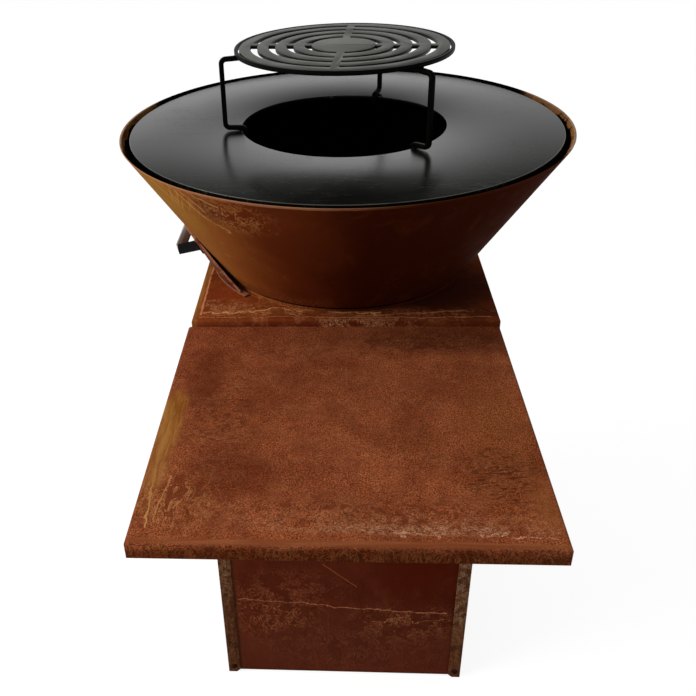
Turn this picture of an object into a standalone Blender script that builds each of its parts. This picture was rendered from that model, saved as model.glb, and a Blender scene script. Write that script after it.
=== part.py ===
# Fire pit grill: a conical fire bowl with a ring-shaped griddle, on a square sheet-steel pedestal
# with a side table, a lift-off hatch cover on the bowl, and a round grate on a three-legged stand.
# Run it with Blender. All sizes are in metres and +Z is up. The origin is on the floor, under the
# middle of the whole object's box, so the bowl's axis stands behind it by axis_back.

from math import asin, atan, cos, pi, radians, sin, sqrt, tan

import bmesh
import bpy
from mathutils import Matrix, Vector

# Gap that neighbouring pieces keep
FIT = 0.0003

# Pedestal
BASE_WIDTH = 0.498
BASE_HEIGHT = 0.894
SHEET = 0.003
FOLD_HEIGHT = 0.026
FOLD_RADIUS = 0.005
POST_WIDTH = 0.025
POST_WALL = 0.003
POST_TOE_CHAMFER = 0.008
PANEL_WALL = 0.002
PANEL_RAISE = 0.004
PANEL_BOLT_HEIGHT = 0.019
TOP_BOLT_DROP = 0.060

# Side table and its two brackets
TABLE_OVERHANG = 0.003
TABLE_SHIFT = -0.003
TABLE_REACH = 0.475
TABLE_DROP = 0.013
BRACKET_DEPTH = 0.220
BRACKET_REACH = 0.390
BRACKET_HEEL = 0.025
BRACKET_TOE = 0.020
BRACKET_RELIEF = 0.006
BRACKET_WALL = 0.003
BRACKET_BOLT_INSET = 0.030
STUD_FIRST = 0.090
STUD_LAST = 0.340

# Fire bowl
RIM_RADIUS = 0.382
RIM_HEIGHT = 1.1415
BOWL_FOOT_OVERHANG = 0.005
BOWL_WALL = 0.003
COLLAR_SETBACK = 0.024
COLLAR_WALL = 0.008
COLLAR_HEIGHT = 0.010
FLOOR_WALL = 0.004
DRAIN_RADIUS = 0.010
BOWL_BOLT_CIRCLE = 0.150
BOWL_STEPS = 128

# Hatch opening, its cover and the handle
OPENING_WIDTH = 0.190
OPENING_LOW = 0.029
OPENING_HEIGHT = 0.053
OPENING_CORNER = 0.010
SILL_GAP = 0.006
SILL_WIDTH = 0.012
SILL_WALL = 0.0027
SILL_HALF_ANGLE = radians(46)
COVER_FOOT_ANGLE = radians(43)
COVER_TOP_ANGLE = radians(31)
COVER_HEIGHT = 0.096
COVER_WALL = 0.003
COVER_FOOT_GAP = 0.011
COVER_CORNER = 0.010
COVER_STEPS = 24
HOOK_WIDTH = 0.020
HOOK_SPREAD = 0.140
HOOK_WALL = 0.003
HOOK_TAIL = 0.008
HOOK_GAP = 0.005
HANDLE_LENGTH = 0.141
HANDLE_STANDOFF = 0.039
HANDLE_RISE = 0.056
HANDLE_STRIP = 0.021
HANDLE_DEPTH = 0.020
HANDLE_WALL = 0.003
HANDLE_TILT = radians(12)
FOOT_WIDTH = 0.018
FOOT_WALL = 0.0025

# Griddle and the lugs that carry it
GRIDDLE_GAP = 0.0121
GRIDDLE_HOLE = 0.175
GRIDDLE_WALL = 0.006
GRIDDLE_CHAMFER = 0.001
GRIDDLE_DROP = 0.0015
LUG_REACH = 0.042
LUG_TIP = 0.007
LUG_DEPTH = 0.040
LUG_WALL = 0.005

# Grate and its stand
STAND_TURN = radians(9.8)
STAND_BAR = 0.008
STAND_HEIGHT = 0.124
LEG_SETBACK = 0.0275
ARM_REACH = 0.0535
ARM_RISE = radians(2)
FOOT_RISE = radians(4)
FOOT_HOOK = 0.012
HOOK_EASE = 0.0015
BEND_RADIUS = 0.008
HOOK_RADIUS = 0.006
HOOP_INSET = 0.0225
HOOP_WALL = 0.006
HOOP_HEIGHT = 0.007
GRATE_GAP = 0.0022
GRATE_WALL = 0.006
GRATE_TURN = radians(-5.5)
SLOT_WIDTH = 0.0115
SLOT_FIRST = 0.0525
SLOT_ROWS = 4
BRIDGE_WIDTH = 0.0125
SLOT_STEPS = 12

# Fasteners: shank radius, head radius, head height, nut radius, nut height
PANEL_BOLT = (0.003, 0.0068, 0.0042, 0.0057, 0.005)
BRACKET_BOLT = (0.003, 0.0060, 0.0040, 0.0057, 0.005)
BOWL_BOLT = (0.004, 0.0075, 0.0045, 0.0075, 0.0065)
TABLE_STUD = (0.003, 0.003, 0.0, 0.0057, 0.005)
HANDLE_SCREW = (0.0025, 0.0048, 0.0028, 0.0045, 0.003)
HOLE_EASE = 0.0004
BOLT_STEPS = 12

# Sizes that follow from those above
base_half = BASE_WIDTH / 2
panel_top = BASE_HEIGHT - FOLD_RADIUS - FIT
panel_face = base_half - POST_WALL - FIT
fold_bottom = BASE_HEIGHT - FOLD_HEIGHT
post_top = fold_bottom - FIT
flange_edge = base_half + TABLE_OVERHANG - abs(TABLE_SHIFT) - FOLD_RADIUS - FIT
table_width = BASE_WIDTH + 2 * TABLE_OVERHANG
table_back = base_half + FIT
table_front = table_back + TABLE_REACH
table_top = BASE_HEIGHT - TABLE_DROP
axis_back = (table_front - RIM_RADIUS) / 2
collar_radius = base_half - COLLAR_SETBACK
collar_low = BASE_HEIGHT + FIT
bowl_low = collar_low + COLLAR_HEIGHT
bowl_foot_radius = collar_radius + BOWL_FOOT_OVERHANG
floor_low = bowl_low + FIT
floor_top = floor_low + FLOOR_WALL
bowl_slope = (RIM_RADIUS - bowl_foot_radius) / (RIM_HEIGHT - bowl_low)
bowl_wall_level = BOWL_WALL / cos(atan(bowl_slope))
opening_low = BASE_HEIGHT + OPENING_LOW
sill_radius = collar_radius + SILL_GAP
griddle_top = RIM_HEIGHT - GRIDDLE_DROP
griddle_low = griddle_top - GRIDDLE_WALL
stand_low = griddle_top + FIT
hoop_low = griddle_top + STAND_HEIGHT
leg_circle = GRIDDLE_HOLE + LEG_SETBACK
hoop_radius = leg_circle - HOOP_INSET
grate_radius = hoop_radius - HOOP_WALL - GRATE_GAP
slot_pitch = (grate_radius - SLOT_FIRST) / SLOT_ROWS
arm_end = leg_circle - ARM_REACH
arm_tip = hoop_low - FIT + (hoop_radius - HOOP_WALL - arm_end) * sin(ARM_RISE)
grate_low = arm_tip + FIT
sill_top = collar_low + SILL_WALL
cover_low = sill_top + FIT
cover_top = cover_low + COVER_HEIGHT


def bowl_outside(height):
    return bowl_foot_radius + bowl_slope * (height - bowl_low)


def bowl_inside(height):
    return bowl_outside(height) - bowl_wall_level


griddle_radius = bowl_inside(griddle_top) - GRIDDLE_GAP
cover_foot_radius = bowl_outside(cover_low) + COVER_FOOT_GAP / cos(atan(bowl_slope))
cover_top_radius = bowl_outside(cover_top) + 2 * FIT
cover_slope = (cover_top_radius - cover_foot_radius) / COVER_HEIGHT
cover_tilt = atan(cover_slope)
cover_wall_level = COVER_WALL / cos(cover_tilt)


def cover_inside(height):
    return cover_foot_radius + cover_slope * (height - cover_low)


def cover_outside(height):
    return cover_inside(height) + cover_wall_level


# Scene and materials


def clear_scene():
    for item in list(bpy.data.objects):
        bpy.data.objects.remove(item, do_unlink=True)


def make_material(name, colour, roughness, metallic):
    material = bpy.data.materials.new(name)
    material.use_nodes = True
    shader = material.node_tree.nodes["Principled BSDF"]
    shader.inputs["Base Color"].default_value = (*colour, 1)
    shader.inputs["Roughness"].default_value = roughness
    shader.inputs["Metallic"].default_value = metallic
    material.diffuse_color = (*colour, 1)
    return material


def make_empty(name, location, parent=None):
    empty = bpy.data.objects.new(name, None)
    empty.location = location
    empty.parent = parent
    bpy.context.scene.collection.objects.link(empty)
    return empty


def object_of(bm, name, colour, parent):
    mesh = bpy.data.meshes.new(name)
    bm.to_mesh(mesh)
    bm.free()
    item = bpy.data.objects.new(name, mesh)
    item.parent = parent
    bpy.context.scene.collection.objects.link(item)
    if colour:
        mesh.materials.append(bpy.data.materials[colour])
    return item


def finish(bm, name, colour, parent, smooth=False):
    """Makes an object of a closed bmesh, its faces turned outwards."""
    bmesh.ops.recalc_face_normals(bm, faces=bm.faces)
    item = object_of(bm, name, colour, parent)
    if smooth:
        item.data.shade_smooth()
        item.data.set_sharp_from_angle(angle=radians(35))
    return item


def bent_sheet(bm, name, colour, parent, wall, side):
    """Makes an object of a bent sheet, thickened behind the side that its widest face looks to."""
    bmesh.ops.recalc_face_normals(bm, faces=bm.faces)
    widest = max(bm.faces, key=lambda face: face.calc_area())
    if widest.normal.dot(Vector(side)) < 0:
        bmesh.ops.reverse_faces(bm, faces=bm.faces)
    item = object_of(bm, name, colour, parent)
    solidify = item.modifiers.new("sheet", "SOLIDIFY")
    solidify.thickness = wall
    solidify.offset = -1
    solidify.use_even_offset = True
    return item


def place(item, location=(0, 0, 0), turn=0.0):
    item.location = location
    item.rotation_euler = (0, 0, turn)
    return item


def copy_of(item, name):
    twin = item.copy()
    twin.name = name
    bpy.context.scene.collection.objects.link(twin)
    return twin


def combine(item, other, operation):
    """Adds a live Boolean and hides its second shape."""
    boolean = item.modifiers.new(operation.lower(), "BOOLEAN")
    boolean.operation = operation
    boolean.solver = "EXACT"
    boolean.object = other
    other.hide_render = True
    other.display_type = "WIRE"
    return item


# Forms that several pieces share


def face_of(bm, points):
    return bm.faces.new([bm.verts.new(point) for point in points])


def prism(points, along):
    """A bmesh of a flat outline drawn out along a vector."""
    bm = bmesh.new()
    outline = face_of(bm, points)
    drawn = bmesh.ops.extrude_face_region(bm, geom=[outline])
    moved = [part for part in drawn["geom"] if isinstance(part, bmesh.types.BMVert)]
    bmesh.ops.translate(bm, verts=moved, vec=Vector(along))
    return bm


def turned(profile, steps, start=0.0, sweep=2 * pi):
    """A bmesh of an outline of (radius, height) points turned round Z."""
    bm = bmesh.new()
    outline = face_of(bm, [(radius, 0, height) for radius, height in profile])
    bmesh.ops.rotate(bm, cent=(0, 0, 0), matrix=Matrix.Rotation(start, 3, "Z"), verts=bm.verts)
    whole = sweep > 2 * pi - 0.001
    geometry = list(bm.verts) + list(bm.edges) + list(bm.faces)
    if whole:
        bmesh.ops.delete(bm, geom=[outline], context="FACES_ONLY")
        geometry = list(bm.verts) + list(bm.edges)
    bmesh.ops.spin(
        bm, geom=geometry, cent=(0, 0, 0), axis=(0, 0, 1), angle=sweep, steps=steps, use_merge=whole
    )
    bmesh.ops.remove_doubles(bm, verts=bm.verts, dist=1e-6)
    return bm


def rounded_box_outline(width, height, radius, steps=4):
    """Points round a rectangle with rounded corners, centred on zero."""
    points = []
    for quarter in range(4):
        angle = quarter * pi / 2
        side = (1 if quarter in (0, 3) else -1, 1 if quarter in (0, 1) else -1)
        centre_x = side[0] * (width / 2 - radius)
        centre_y = side[1] * (height / 2 - radius)
        for step in range(steps + 1):
            bend = angle + step * pi / 2 / steps
            points.append((centre_x + radius * cos(bend), centre_y + radius * sin(bend)))
    return points


def hole_cutter(name, parent, centres, radius, axis, half_length):
    """One hidden cutter of round pins for the holes at some centres."""
    bm = bmesh.new()
    turn = Vector((0, 0, 1)).rotation_difference(Vector(axis)).to_matrix().to_4x4()
    for centre in centres:
        bmesh.ops.create_cone(
            bm,
            cap_ends=True,
            segments=BOLT_STEPS,
            radius1=radius,
            radius2=radius,
            depth=2 * half_length,
            matrix=Matrix.Translation(centre) @ turn,
        )
    return finish(bm, name, None, parent)


def hole_radius(fastener):
    """A hole whose flats clear the fastener's shank."""
    return (fastener[0] + HOLE_EASE) / cos(pi / BOLT_STEPS)


def bolt(name, fastener, grip, location, inward, parent):
    """A domed bolt whose head sits at location, with its nut beyond the grip."""
    shank, head, head_height, nut, nut_height = fastener
    end = -(grip + nut_height + 2 * FIT + shank * 0.6)
    profile = [(0, end), (shank * 0.8, end), (shank, end + shank * 0.2), (shank, 0)]
    if head_height:
        dome = [(head, 0), (head, head_height * 0.35), (head * 0.62, head_height * 0.9), (0, head_height)]
        profile += dome
    else:
        profile.append((0, 0))
    item = finish(turned(profile, BOLT_STEPS), name, "blackened_bolt", parent, smooth=True)
    nut_low = -(grip + nut_height + 2 * FIT)
    hexagon = [(nut * cos(k * pi / 3), nut * sin(k * pi / 3), nut_low) for k in range(6)]
    nut_shape = finish(prism(hexagon, (0, 0, nut_height)), name + "_nut_form", None, parent)
    combine(item, nut_shape, "UNION")
    turn = Vector((0, 0, -1)).rotation_difference(Vector(inward)).to_euler()
    for part in (item, nut_shape):
        part.location = Vector(location) - Vector(inward) * FIT
        part.rotation_euler = turn
    return item


# Pedestal


def corner_post(name, turn, parent):
    """An angle-section leg, its two toes chamfered at the floor."""
    width, wall = POST_WIDTH, POST_WALL
    outline = [(0, 0), (width, 0), (width, wall), (wall, wall), (wall, width), (0, width)]
    bm = prism([(x - base_half, y - base_half, 0) for x, y in outline], (0, 0, post_top))
    toe = width - POST_TOE_CHAMFER - base_half
    for point, normal in (((toe, 0, 0), (1, 0, -1)), ((0, toe, 0), (0, 1, -1))):
        whole = bm.verts[:] + bm.edges[:] + bm.faces[:]
        cut = bmesh.ops.bisect_plane(bm, geom=whole, plane_co=point, plane_no=normal, clear_outer=True)
        edges = [part for part in cut["geom_cut"] if isinstance(part, bmesh.types.BMEdge)]
        bmesh.ops.edgenet_fill(bm, edges=edges)
    return place(finish(bm, name, "rusted_post", parent), turn=turn)


def side_bolt_points(heights):
    """Where one side's bolts stand, level by level, in the frame of the front side."""
    across = base_half - POST_WIDTH / 2
    return [(side * across, -base_half, height) for height in heights for side in (-1, 1)]


def panel(name, turn, inset, parent):
    """A flat sheet that stands behind the legs of two posts."""
    half = panel_face - inset
    outline = [
        (-half, -panel_face, PANEL_RAISE),
        (half, -panel_face, PANEL_RAISE),
        (half, -panel_face, panel_top),
        (-half, -panel_face, panel_top),
    ]
    return place(finish(prism(outline, (0, PANEL_WALL, 0)), name, "rusted_panel", parent), turn=turn)


def bolt_panel(name, turn, posts, heights, bolted, parent):
    """Drills one panel with its two posts, and bolts them together at some of the heights."""
    spots = side_bolt_points(heights)
    holes = hole_cutter(name + "_holes", parent, spots, hole_radius(PANEL_BOLT), (0, 1, 0), 0.02)
    place(holes, turn=turn)
    for drilled in [panel(name, turn, 0, parent)] + posts:
        combine(drilled, holes, "DIFFERENCE")
    around = Matrix.Rotation(turn, 3, "Z")
    grip = POST_WALL + PANEL_WALL + FIT
    for number, point in enumerate(side_bolt_points(bolted), 1):
        spot = around @ Vector(point)
        bolt(f"{name}_bolt_{number}", PANEL_BOLT, grip, spot, around @ Vector((0, 1, 0)), parent)


def pedestal(parent):
    front_posts = [
        corner_post("front_left_post", 0, parent),
        corner_post("front_right_post", pi / 2, parent),
    ]
    back_posts = [
        corner_post("back_right_post", pi, parent),
        corner_post("back_left_post", -pi / 2, parent),
    ]
    front = [PANEL_BOLT_HEIGHT] + bracket_bolt_heights()
    back = [PANEL_BOLT_HEIGHT, fold_bottom - TOP_BOLT_DROP]
    bolt_panel("front_panel", 0, front_posts, front, front[:1], parent)
    bolt_panel("back_panel", pi, back_posts, back, back, parent)
    panel("left_panel", -pi / 2, PANEL_WALL + FIT, parent)
    panel("right_panel", pi / 2, PANEL_WALL + FIT, parent)


def folded_tray(name, middle, width, back, front, top, open_back, colour, parent):
    """A sheet folded down round its edges, with rounded folds along its top."""
    bm = bmesh.new()
    left, right = middle - width / 2, middle + width / 2
    corners = [(left, -front), (right, -front), (right, -back), (left, -back)]
    low = top - FOLD_HEIGHT
    outline = face_of(bm, [(x, y, low) for x, y in corners])
    drawn = bmesh.ops.extrude_face_region(bm, geom=[outline])
    moved = [part for part in drawn["geom"] if isinstance(part, bmesh.types.BMVert)]
    bmesh.ops.translate(bm, verts=moved, vec=(0, 0, FOLD_HEIGHT))
    upper = [edge for edge in bm.edges if all(abs(vert.co.z - top) < 1e-6 for vert in edge.verts)]
    if open_back:
        upper = [edge for edge in upper if any(vert.co.y < -back - 1e-6 for vert in edge.verts)]
    bmesh.ops.bevel(bm, geom=upper, offset=FOLD_RADIUS, segments=3, profile=0.5, affect="EDGES")
    bmesh.ops.recalc_face_normals(bm, faces=bm.faces)
    opened = [face for face in bm.faces if face.normal.z < -0.9]
    if open_back:
        opened += [face for face in bm.faces if face.normal.y > 0.9]
    bmesh.ops.delete(bm, geom=opened, context="FACES")
    return bent_sheet(bm, name, colour, parent, SHEET, (0, 0, 1))


def base_tray(parent):
    half, colour = base_half, "rusted_tray"
    item = folded_tray("base_tray", 0, BASE_WIDTH, -half, half, BASE_HEIGHT, False, colour, parent)
    centres = [(x, y, BASE_HEIGHT) for x, y in bowl_bolt_places()]
    cutter = hole_cutter("base_tray_holes", parent, centres, hole_radius(BOWL_BOLT), (0, 0, 1), 0.02)
    combine(item, cutter, "DIFFERENCE")
    drain = hole_cutter("base_tray_drain", parent, [(0, 0, BASE_HEIGHT)], DRAIN_RADIUS, (0, 0, 1), 0.02)
    combine(item, drain, "DIFFERENCE")


# Side table


def bracket_bolt_heights():
    low = fold_bottom - 2 * FIT - BRACKET_DEPTH
    return [low + BRACKET_BOLT_INSET, fold_bottom - 2 * FIT - BRACKET_BOLT_INSET]


def bracket(name, side, parent):
    """A gusset folded from one sheet: a web, a flange on the post and a flange under the table."""
    face = base_half + FIT
    notch = face + BRACKET_RELIEF
    low = fold_bottom - 2 * FIT - BRACKET_DEPTH
    shoulder = fold_bottom - 2 * FIT
    top = table_top - SHEET - FIT
    inner = side * (base_half - POST_WIDTH)
    outer = side * flange_edge
    tip = face + BRACKET_REACH
    web = [
        (inner, -face, low),
        (inner, -face, shoulder),
        (inner, -notch, shoulder),
        (inner, -notch, top),
        (inner, -tip, top),
        (inner, -tip, top - BRACKET_TOE),
        (inner, -face - BRACKET_HEEL, low),
    ]
    bm = bmesh.new()
    sheet = face_of(bm, web)
    corners = list(sheet.verts)
    for first, last in ((0, 1), (3, 4)):
        strip = [Vector(corners[k].co) for k in (first, last)]
        far = [bm.verts.new((outer, point.y, point.z)) for point in reversed(strip)]
        bm.faces.new([corners[first], corners[last]] + far)
    item = bent_sheet(bm, name, "rusted_post", parent, BRACKET_WALL, (-side, 0, 0))
    across = side * (base_half - POST_WIDTH / 2)
    bolt_spots = [(across, -base_half, height) for height in bracket_bolt_heights()]
    holes = hole_cutter(name + "_holes", parent, bolt_spots, hole_radius(BRACKET_BOLT), (0, 1, 0), 0.02)
    combine(item, holes, "DIFFERENCE")
    stud_spots = [(across, -face - reach, top) for reach in (STUD_FIRST, STUD_LAST)]
    stud_hole = hole_radius(TABLE_STUD)
    stud_holes = hole_cutter(name + "_stud_holes", parent, stud_spots, stud_hole, (0, 0, 1), 0.01)
    combine(item, stud_holes, "DIFFERENCE")
    hand = "left" if side < 0 else "right"
    grip = BRACKET_WALL + POST_WALL + PANEL_WALL + 2 * FIT
    for number, (x, _, z) in enumerate(bolt_spots, 1):
        spot = (x, -face - BRACKET_WALL, z)
        bolt(f"{hand}_bracket_bolt_{number}", BRACKET_BOLT, grip, spot, (0, 1, 0), parent)
    for number, (x, y, z) in enumerate(stud_spots, 1):
        bolt(f"{hand}_table_stud_{number}", TABLE_STUD, BRACKET_WALL, (x, y, z - FIT), (0, 0, -1), parent)


def side_table(parent):
    across, along = (TABLE_SHIFT, table_width), (table_back, table_front)
    folded_tray("side_table", *across, *along, table_top, True, "rusted_table", parent)
    bracket("left_bracket", -1, parent)
    bracket("right_bracket", 1, parent)


# Fire bowl


def bowl_bolt_places():
    turns = [pi / 4 + k * pi / 2 for k in range(4)]
    return [(BOWL_BOLT_CIRCLE * cos(turn), BOWL_BOLT_CIRCLE * sin(turn)) for turn in turns]


def bowl_shell(parent):
    profile = [
        (bowl_foot_radius, bowl_low),
        (RIM_RADIUS, RIM_HEIGHT),
        (RIM_RADIUS - bowl_wall_level, RIM_HEIGHT),
        (bowl_foot_radius - bowl_wall_level, bowl_low),
    ]
    shell = finish(turned(profile, BOWL_STEPS), "bowl_shell", "rusted_bowl", parent, smooth=True)
    middle = opening_low + OPENING_HEIGHT / 2
    outline = rounded_box_outline(OPENING_WIDTH, OPENING_HEIGHT, OPENING_CORNER)
    points = [(-RIM_RADIUS, across, middle + up) for across, up in outline]
    cutter = finish(prism(points, (RIM_RADIUS / 2, 0, 0)), "hatch_opening", None, parent)
    combine(shell, cutter, "DIFFERENCE")


def bowl_base(parent):
    collar = [
        (collar_radius, collar_low),
        (collar_radius, bowl_low),
        (collar_radius - COLLAR_WALL, bowl_low),
        (collar_radius - COLLAR_WALL, collar_low),
    ]
    finish(turned(collar, 96), "bowl_collar", "rusted_bowl", parent, smooth=True)
    edge = bowl_inside(floor_low) - FIT
    disc = [(edge, floor_low), (edge, floor_top), (DRAIN_RADIUS, floor_top), (DRAIN_RADIUS, floor_low)]
    plate = finish(turned(disc, 96), "bowl_floor", "sooty_steel", parent, smooth=True)
    centres = [(x, y, floor_low) for x, y in bowl_bolt_places()]
    cutter = hole_cutter("bowl_floor_holes", parent, centres, hole_radius(BOWL_BOLT), (0, 0, 1), 0.009)
    combine(plate, cutter, "DIFFERENCE")
    grip = floor_top - BASE_HEIGHT + SHEET
    for number, (x, y) in enumerate(bowl_bolt_places(), 1):
        bolt(f"bowl_bolt_{number}", BOWL_BOLT, grip, (x, y, floor_top), (0, 0, -1), parent)


def support_lugs(parent):
    """Four gussets inside the wall, which carry the griddle."""
    top = griddle_low - FIT
    wall_top = bowl_inside(top) - 2 * FIT
    wall_low = bowl_inside(top - LUG_DEPTH) - 2 * FIT
    outline = [
        (wall_top, top),
        (wall_top - LUG_REACH, top),
        (wall_top - LUG_REACH, top - LUG_TIP),
        (wall_low - LUG_TIP, top - LUG_DEPTH),
        (wall_low, top - LUG_DEPTH),
    ]
    points = [(radius, -LUG_WALL / 2, height) for radius, height in outline]
    first = finish(prism(points, (0, LUG_WALL, 0)), "support_lug_1", "sooty_steel", parent)
    place(first, turn=pi / 4)
    for number in range(2, 5):
        place(copy_of(first, f"support_lug_{number}"), turn=pi / 4 + (number - 1) * pi / 2)


# Hatch


def hatch_sill(parent):
    """The curved strip on the tray that the cover stands on."""
    profile = [
        (sill_radius + SILL_WIDTH, collar_low),
        (sill_radius + SILL_WIDTH, sill_top),
        (sill_radius, sill_top),
        (sill_radius, collar_low),
    ]
    bm = turned(profile, 28, pi - SILL_HALF_ANGLE, 2 * SILL_HALF_ANGLE)
    finish(bm, "hatch_sill", "rusted_bowl", parent, smooth=True)


def hook_form(side, parent):
    """A tab through the opening that turns down behind the bowl's wall."""
    low = opening_low + FIT
    high = low + HOOK_WALL
    tail = low - HOOK_TAIL
    outline = [
        (cover_inside(low) + COVER_WALL / 2, low),
        (cover_inside(high) + COVER_WALL / 2, high),
        (bowl_inside(high) - HOOK_GAP - HOOK_WALL, high),
        (bowl_inside(tail) - HOOK_GAP - HOOK_WALL, tail),
        (bowl_inside(tail) - HOOK_GAP, tail),
        (bowl_inside(low) - HOOK_GAP, low),
    ]
    points = [(-radius, -HOOK_WIDTH / 2, height) for radius, height in outline]
    hook = finish(prism(points, (0, HOOK_WIDTH, 0)), f"hook_form_{side}", None, parent)
    turn = asin(HOOK_SPREAD / 2 / cover_inside(low))
    return place(hook, turn=side * turn)


def cover_half_angle(height):
    """How far the cover reaches round the bowl: it narrows upwards and its corners are rounded."""
    rise = (height - cover_low) / COVER_HEIGHT
    half = COVER_FOOT_ANGLE + (COVER_TOP_ANGLE - COVER_FOOT_ANGLE) * rise
    over = max(0.0, height - cover_top + COVER_CORNER)
    return half - (COVER_CORNER - sqrt(COVER_CORNER**2 - over**2)) / cover_outside(height)


def hatch_cover(parent):
    """A sheet rolled to the bowl's curve, hung by two hooks in the opening."""
    straight = COVER_HEIGHT - COVER_CORNER
    levels = [cover_low + straight * step / 4 for step in range(5)]
    levels += [cover_top - COVER_CORNER * (1 - sin(step * pi / 6)) for step in (1, 2)] + [cover_top]
    bm = bmesh.new()
    rows = []
    for level in levels:
        half, radius = cover_half_angle(level), cover_outside(level)
        turns = [pi - half + 2 * half * step / COVER_STEPS for step in range(COVER_STEPS + 1)]
        rows.append([bm.verts.new((radius * cos(turn), radius * sin(turn), level)) for turn in turns])
    for low, high in zip(rows, rows[1:]):
        for k in range(COVER_STEPS):
            bm.faces.new([low[k], low[k + 1], high[k + 1], high[k]])
    item = bent_sheet(bm, "hatch_cover", "rusted_bowl", parent, COVER_WALL, (-1, 0, 0))
    for side in (-1, 1):
        combine(item, hook_form(side, parent), "UNION")
    return item


def hatch_handle(parent):
    """A pull folded from one sheet: a grip strip with a lug turned down at each end."""
    half = HANDLE_LENGTH / 2
    height = cover_low + HANDLE_RISE
    seat = sqrt(cover_outside(height) ** 2 - half**2)
    out = Vector((-cos(HANDLE_TILT), 0, -sin(HANDLE_TILT)))
    down = Vector((sin(HANDLE_TILT), 0, -cos(HANDLE_TILT)))
    corner = Vector((-seat, 0, height)) + out * HANDLE_STANDOFF

    def point(inward, drop, across):
        spot = corner - out * inward + down * drop
        return (spot.x, across, spot.z)

    def seat_inward(drop):
        """How far a lug's inner face runs inward before it meets the cover."""
        reach = HANDLE_STANDOFF
        for _ in range(8):
            x, y, z = point(reach, drop, half - HANDLE_WALL)
            reach += -x - sqrt(cover_outside(z) ** 2 - y**2)
        return reach - 2 * FIT

    bm = bmesh.new()
    ends = {}
    for across in (-half, half):
        flat = [(0, 0), (HANDLE_STRIP, 0), (seat_inward(0), 0)]
        flat += [(seat_inward(HANDLE_DEPTH), HANDLE_DEPTH), (0, HANDLE_DEPTH)]
        lug = face_of(bm, [point(inward, drop, across) for inward, drop in flat])
        ends[across] = list(lug.verts)[:2]
    near, far = ends[-half], ends[half]
    bm.faces.new([near[0], near[1], far[1], far[0]])
    return bent_sheet(bm, "hatch_handle", "black_handle", parent, HANDLE_WALL, (0, 0, 1))


def screw_handle(handle, cover, parent):
    """Adds a foot at each lug's root, flat against the cover, and the screw that holds it."""
    wall = FOOT_WALL / cos(cover_tilt)
    high = cover_low + HANDLE_RISE
    low = high - HANDLE_DEPTH
    middle = (low + high) / 2
    inside = [(cover_outside(height) + 2 * FIT, height) for height in (low, high)]
    outside = [(radius + wall, height) for radius, height in reversed(inside)]
    points = [(radius, -FOOT_WIDTH / 2, height) for radius, height in inside + outside]
    across = (HANDLE_LENGTH + FOOT_WIDTH) / 2 - HANDLE_WALL
    for side, hand in ((-1, "front"), (1, "back")):
        turn = pi - side * asin(across / cover_outside(middle))
        foot = finish(prism(points, (0, FOOT_WIDTH, 0)), f"handle_foot_{hand}", None, parent)
        combine(handle, place(foot, turn=turn), "UNION")
        around = Matrix.Rotation(turn, 3, "Z")
        seat = around @ Vector((cover_outside(middle) + 2 * FIT + wall, 0, middle))
        inward = around @ Vector((-cos(cover_tilt), 0, sin(cover_tilt)))
        hole = hole_cutter(f"handle_hole_{hand}", parent, [seat], hole_radius(HANDLE_SCREW), inward, 0.02)
        combine(handle, hole, "DIFFERENCE")
        combine(cover, hole, "DIFFERENCE")
        bolt(f"{hand}_handle_screw", HANDLE_SCREW, FOOT_WALL + COVER_WALL + 2 * FIT, seat, inward, parent)


# Griddle


def griddle(parent):
    cut = GRIDDLE_CHAMFER
    profile = [
        (griddle_radius, griddle_low),
        (griddle_radius, griddle_top - cut),
        (griddle_radius - cut, griddle_top),
        (GRIDDLE_HOLE + cut, griddle_top),
        (GRIDDLE_HOLE, griddle_top - cut),
        (GRIDDLE_HOLE, griddle_low),
    ]
    finish(turned(profile, BOWL_STEPS), "griddle_ring", "seasoned_steel", parent, smooth=True)


# Stand and grate


def bar_outline(path, bends, width, steps=4):
    """Both sides of a bar that follows a path and has a rounded bend at each inner point."""
    half = width / 2
    near, far = [], []
    for before, corner, after, bend in zip([None] + path, path, path[1:] + [None], [0] + bends + [0]):
        coming = (corner - before).normalized() if before else (after - corner).normalized()
        going = (after - corner).normalized() if after else coming
        turn = -coming.angle_signed(going)
        across = Vector((-coming.y, coming.x))
        if not bend:
            near.append(corner + across * half)
            far.append(corner - across * half)
            continue
        hand = 1 if turn > 0 else -1
        start = corner - coming * bend * tan(abs(turn) / 2)
        centre = start + across * bend * hand
        for step in range(steps + 1):
            spoke = Matrix.Rotation(turn * step / steps, 2) @ (-across * hand)
            near.append(centre + spoke * (bend - hand * half))
            far.append(centre + spoke * (bend + hand * half))
    return near + far[::-1]


def stand_leg_outline():
    """A bar in (radius, height): a hook in the griddle's hole, a foot, an upright and an arm."""
    half = STAND_BAR / 2
    hook = GRIDDLE_HOLE - HOOK_EASE - half
    foot = stand_low + half / cos(FOOT_RISE)
    arm = arm_tip - half / cos(ARM_RISE)
    path = [
        (hook, griddle_top - FOOT_HOOK),
        (hook, foot + (hook - GRIDDLE_HOLE) * tan(FOOT_RISE)),
        (leg_circle, foot + (leg_circle - GRIDDLE_HOLE) * tan(FOOT_RISE)),
        (leg_circle, arm - ARM_REACH * tan(ARM_RISE)),
        (arm_end, arm),
    ]
    bends = [HOOK_RADIUS, BEND_RADIUS, BEND_RADIUS]
    return bar_outline([Vector(point) for point in path], bends, STAND_BAR)


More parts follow.
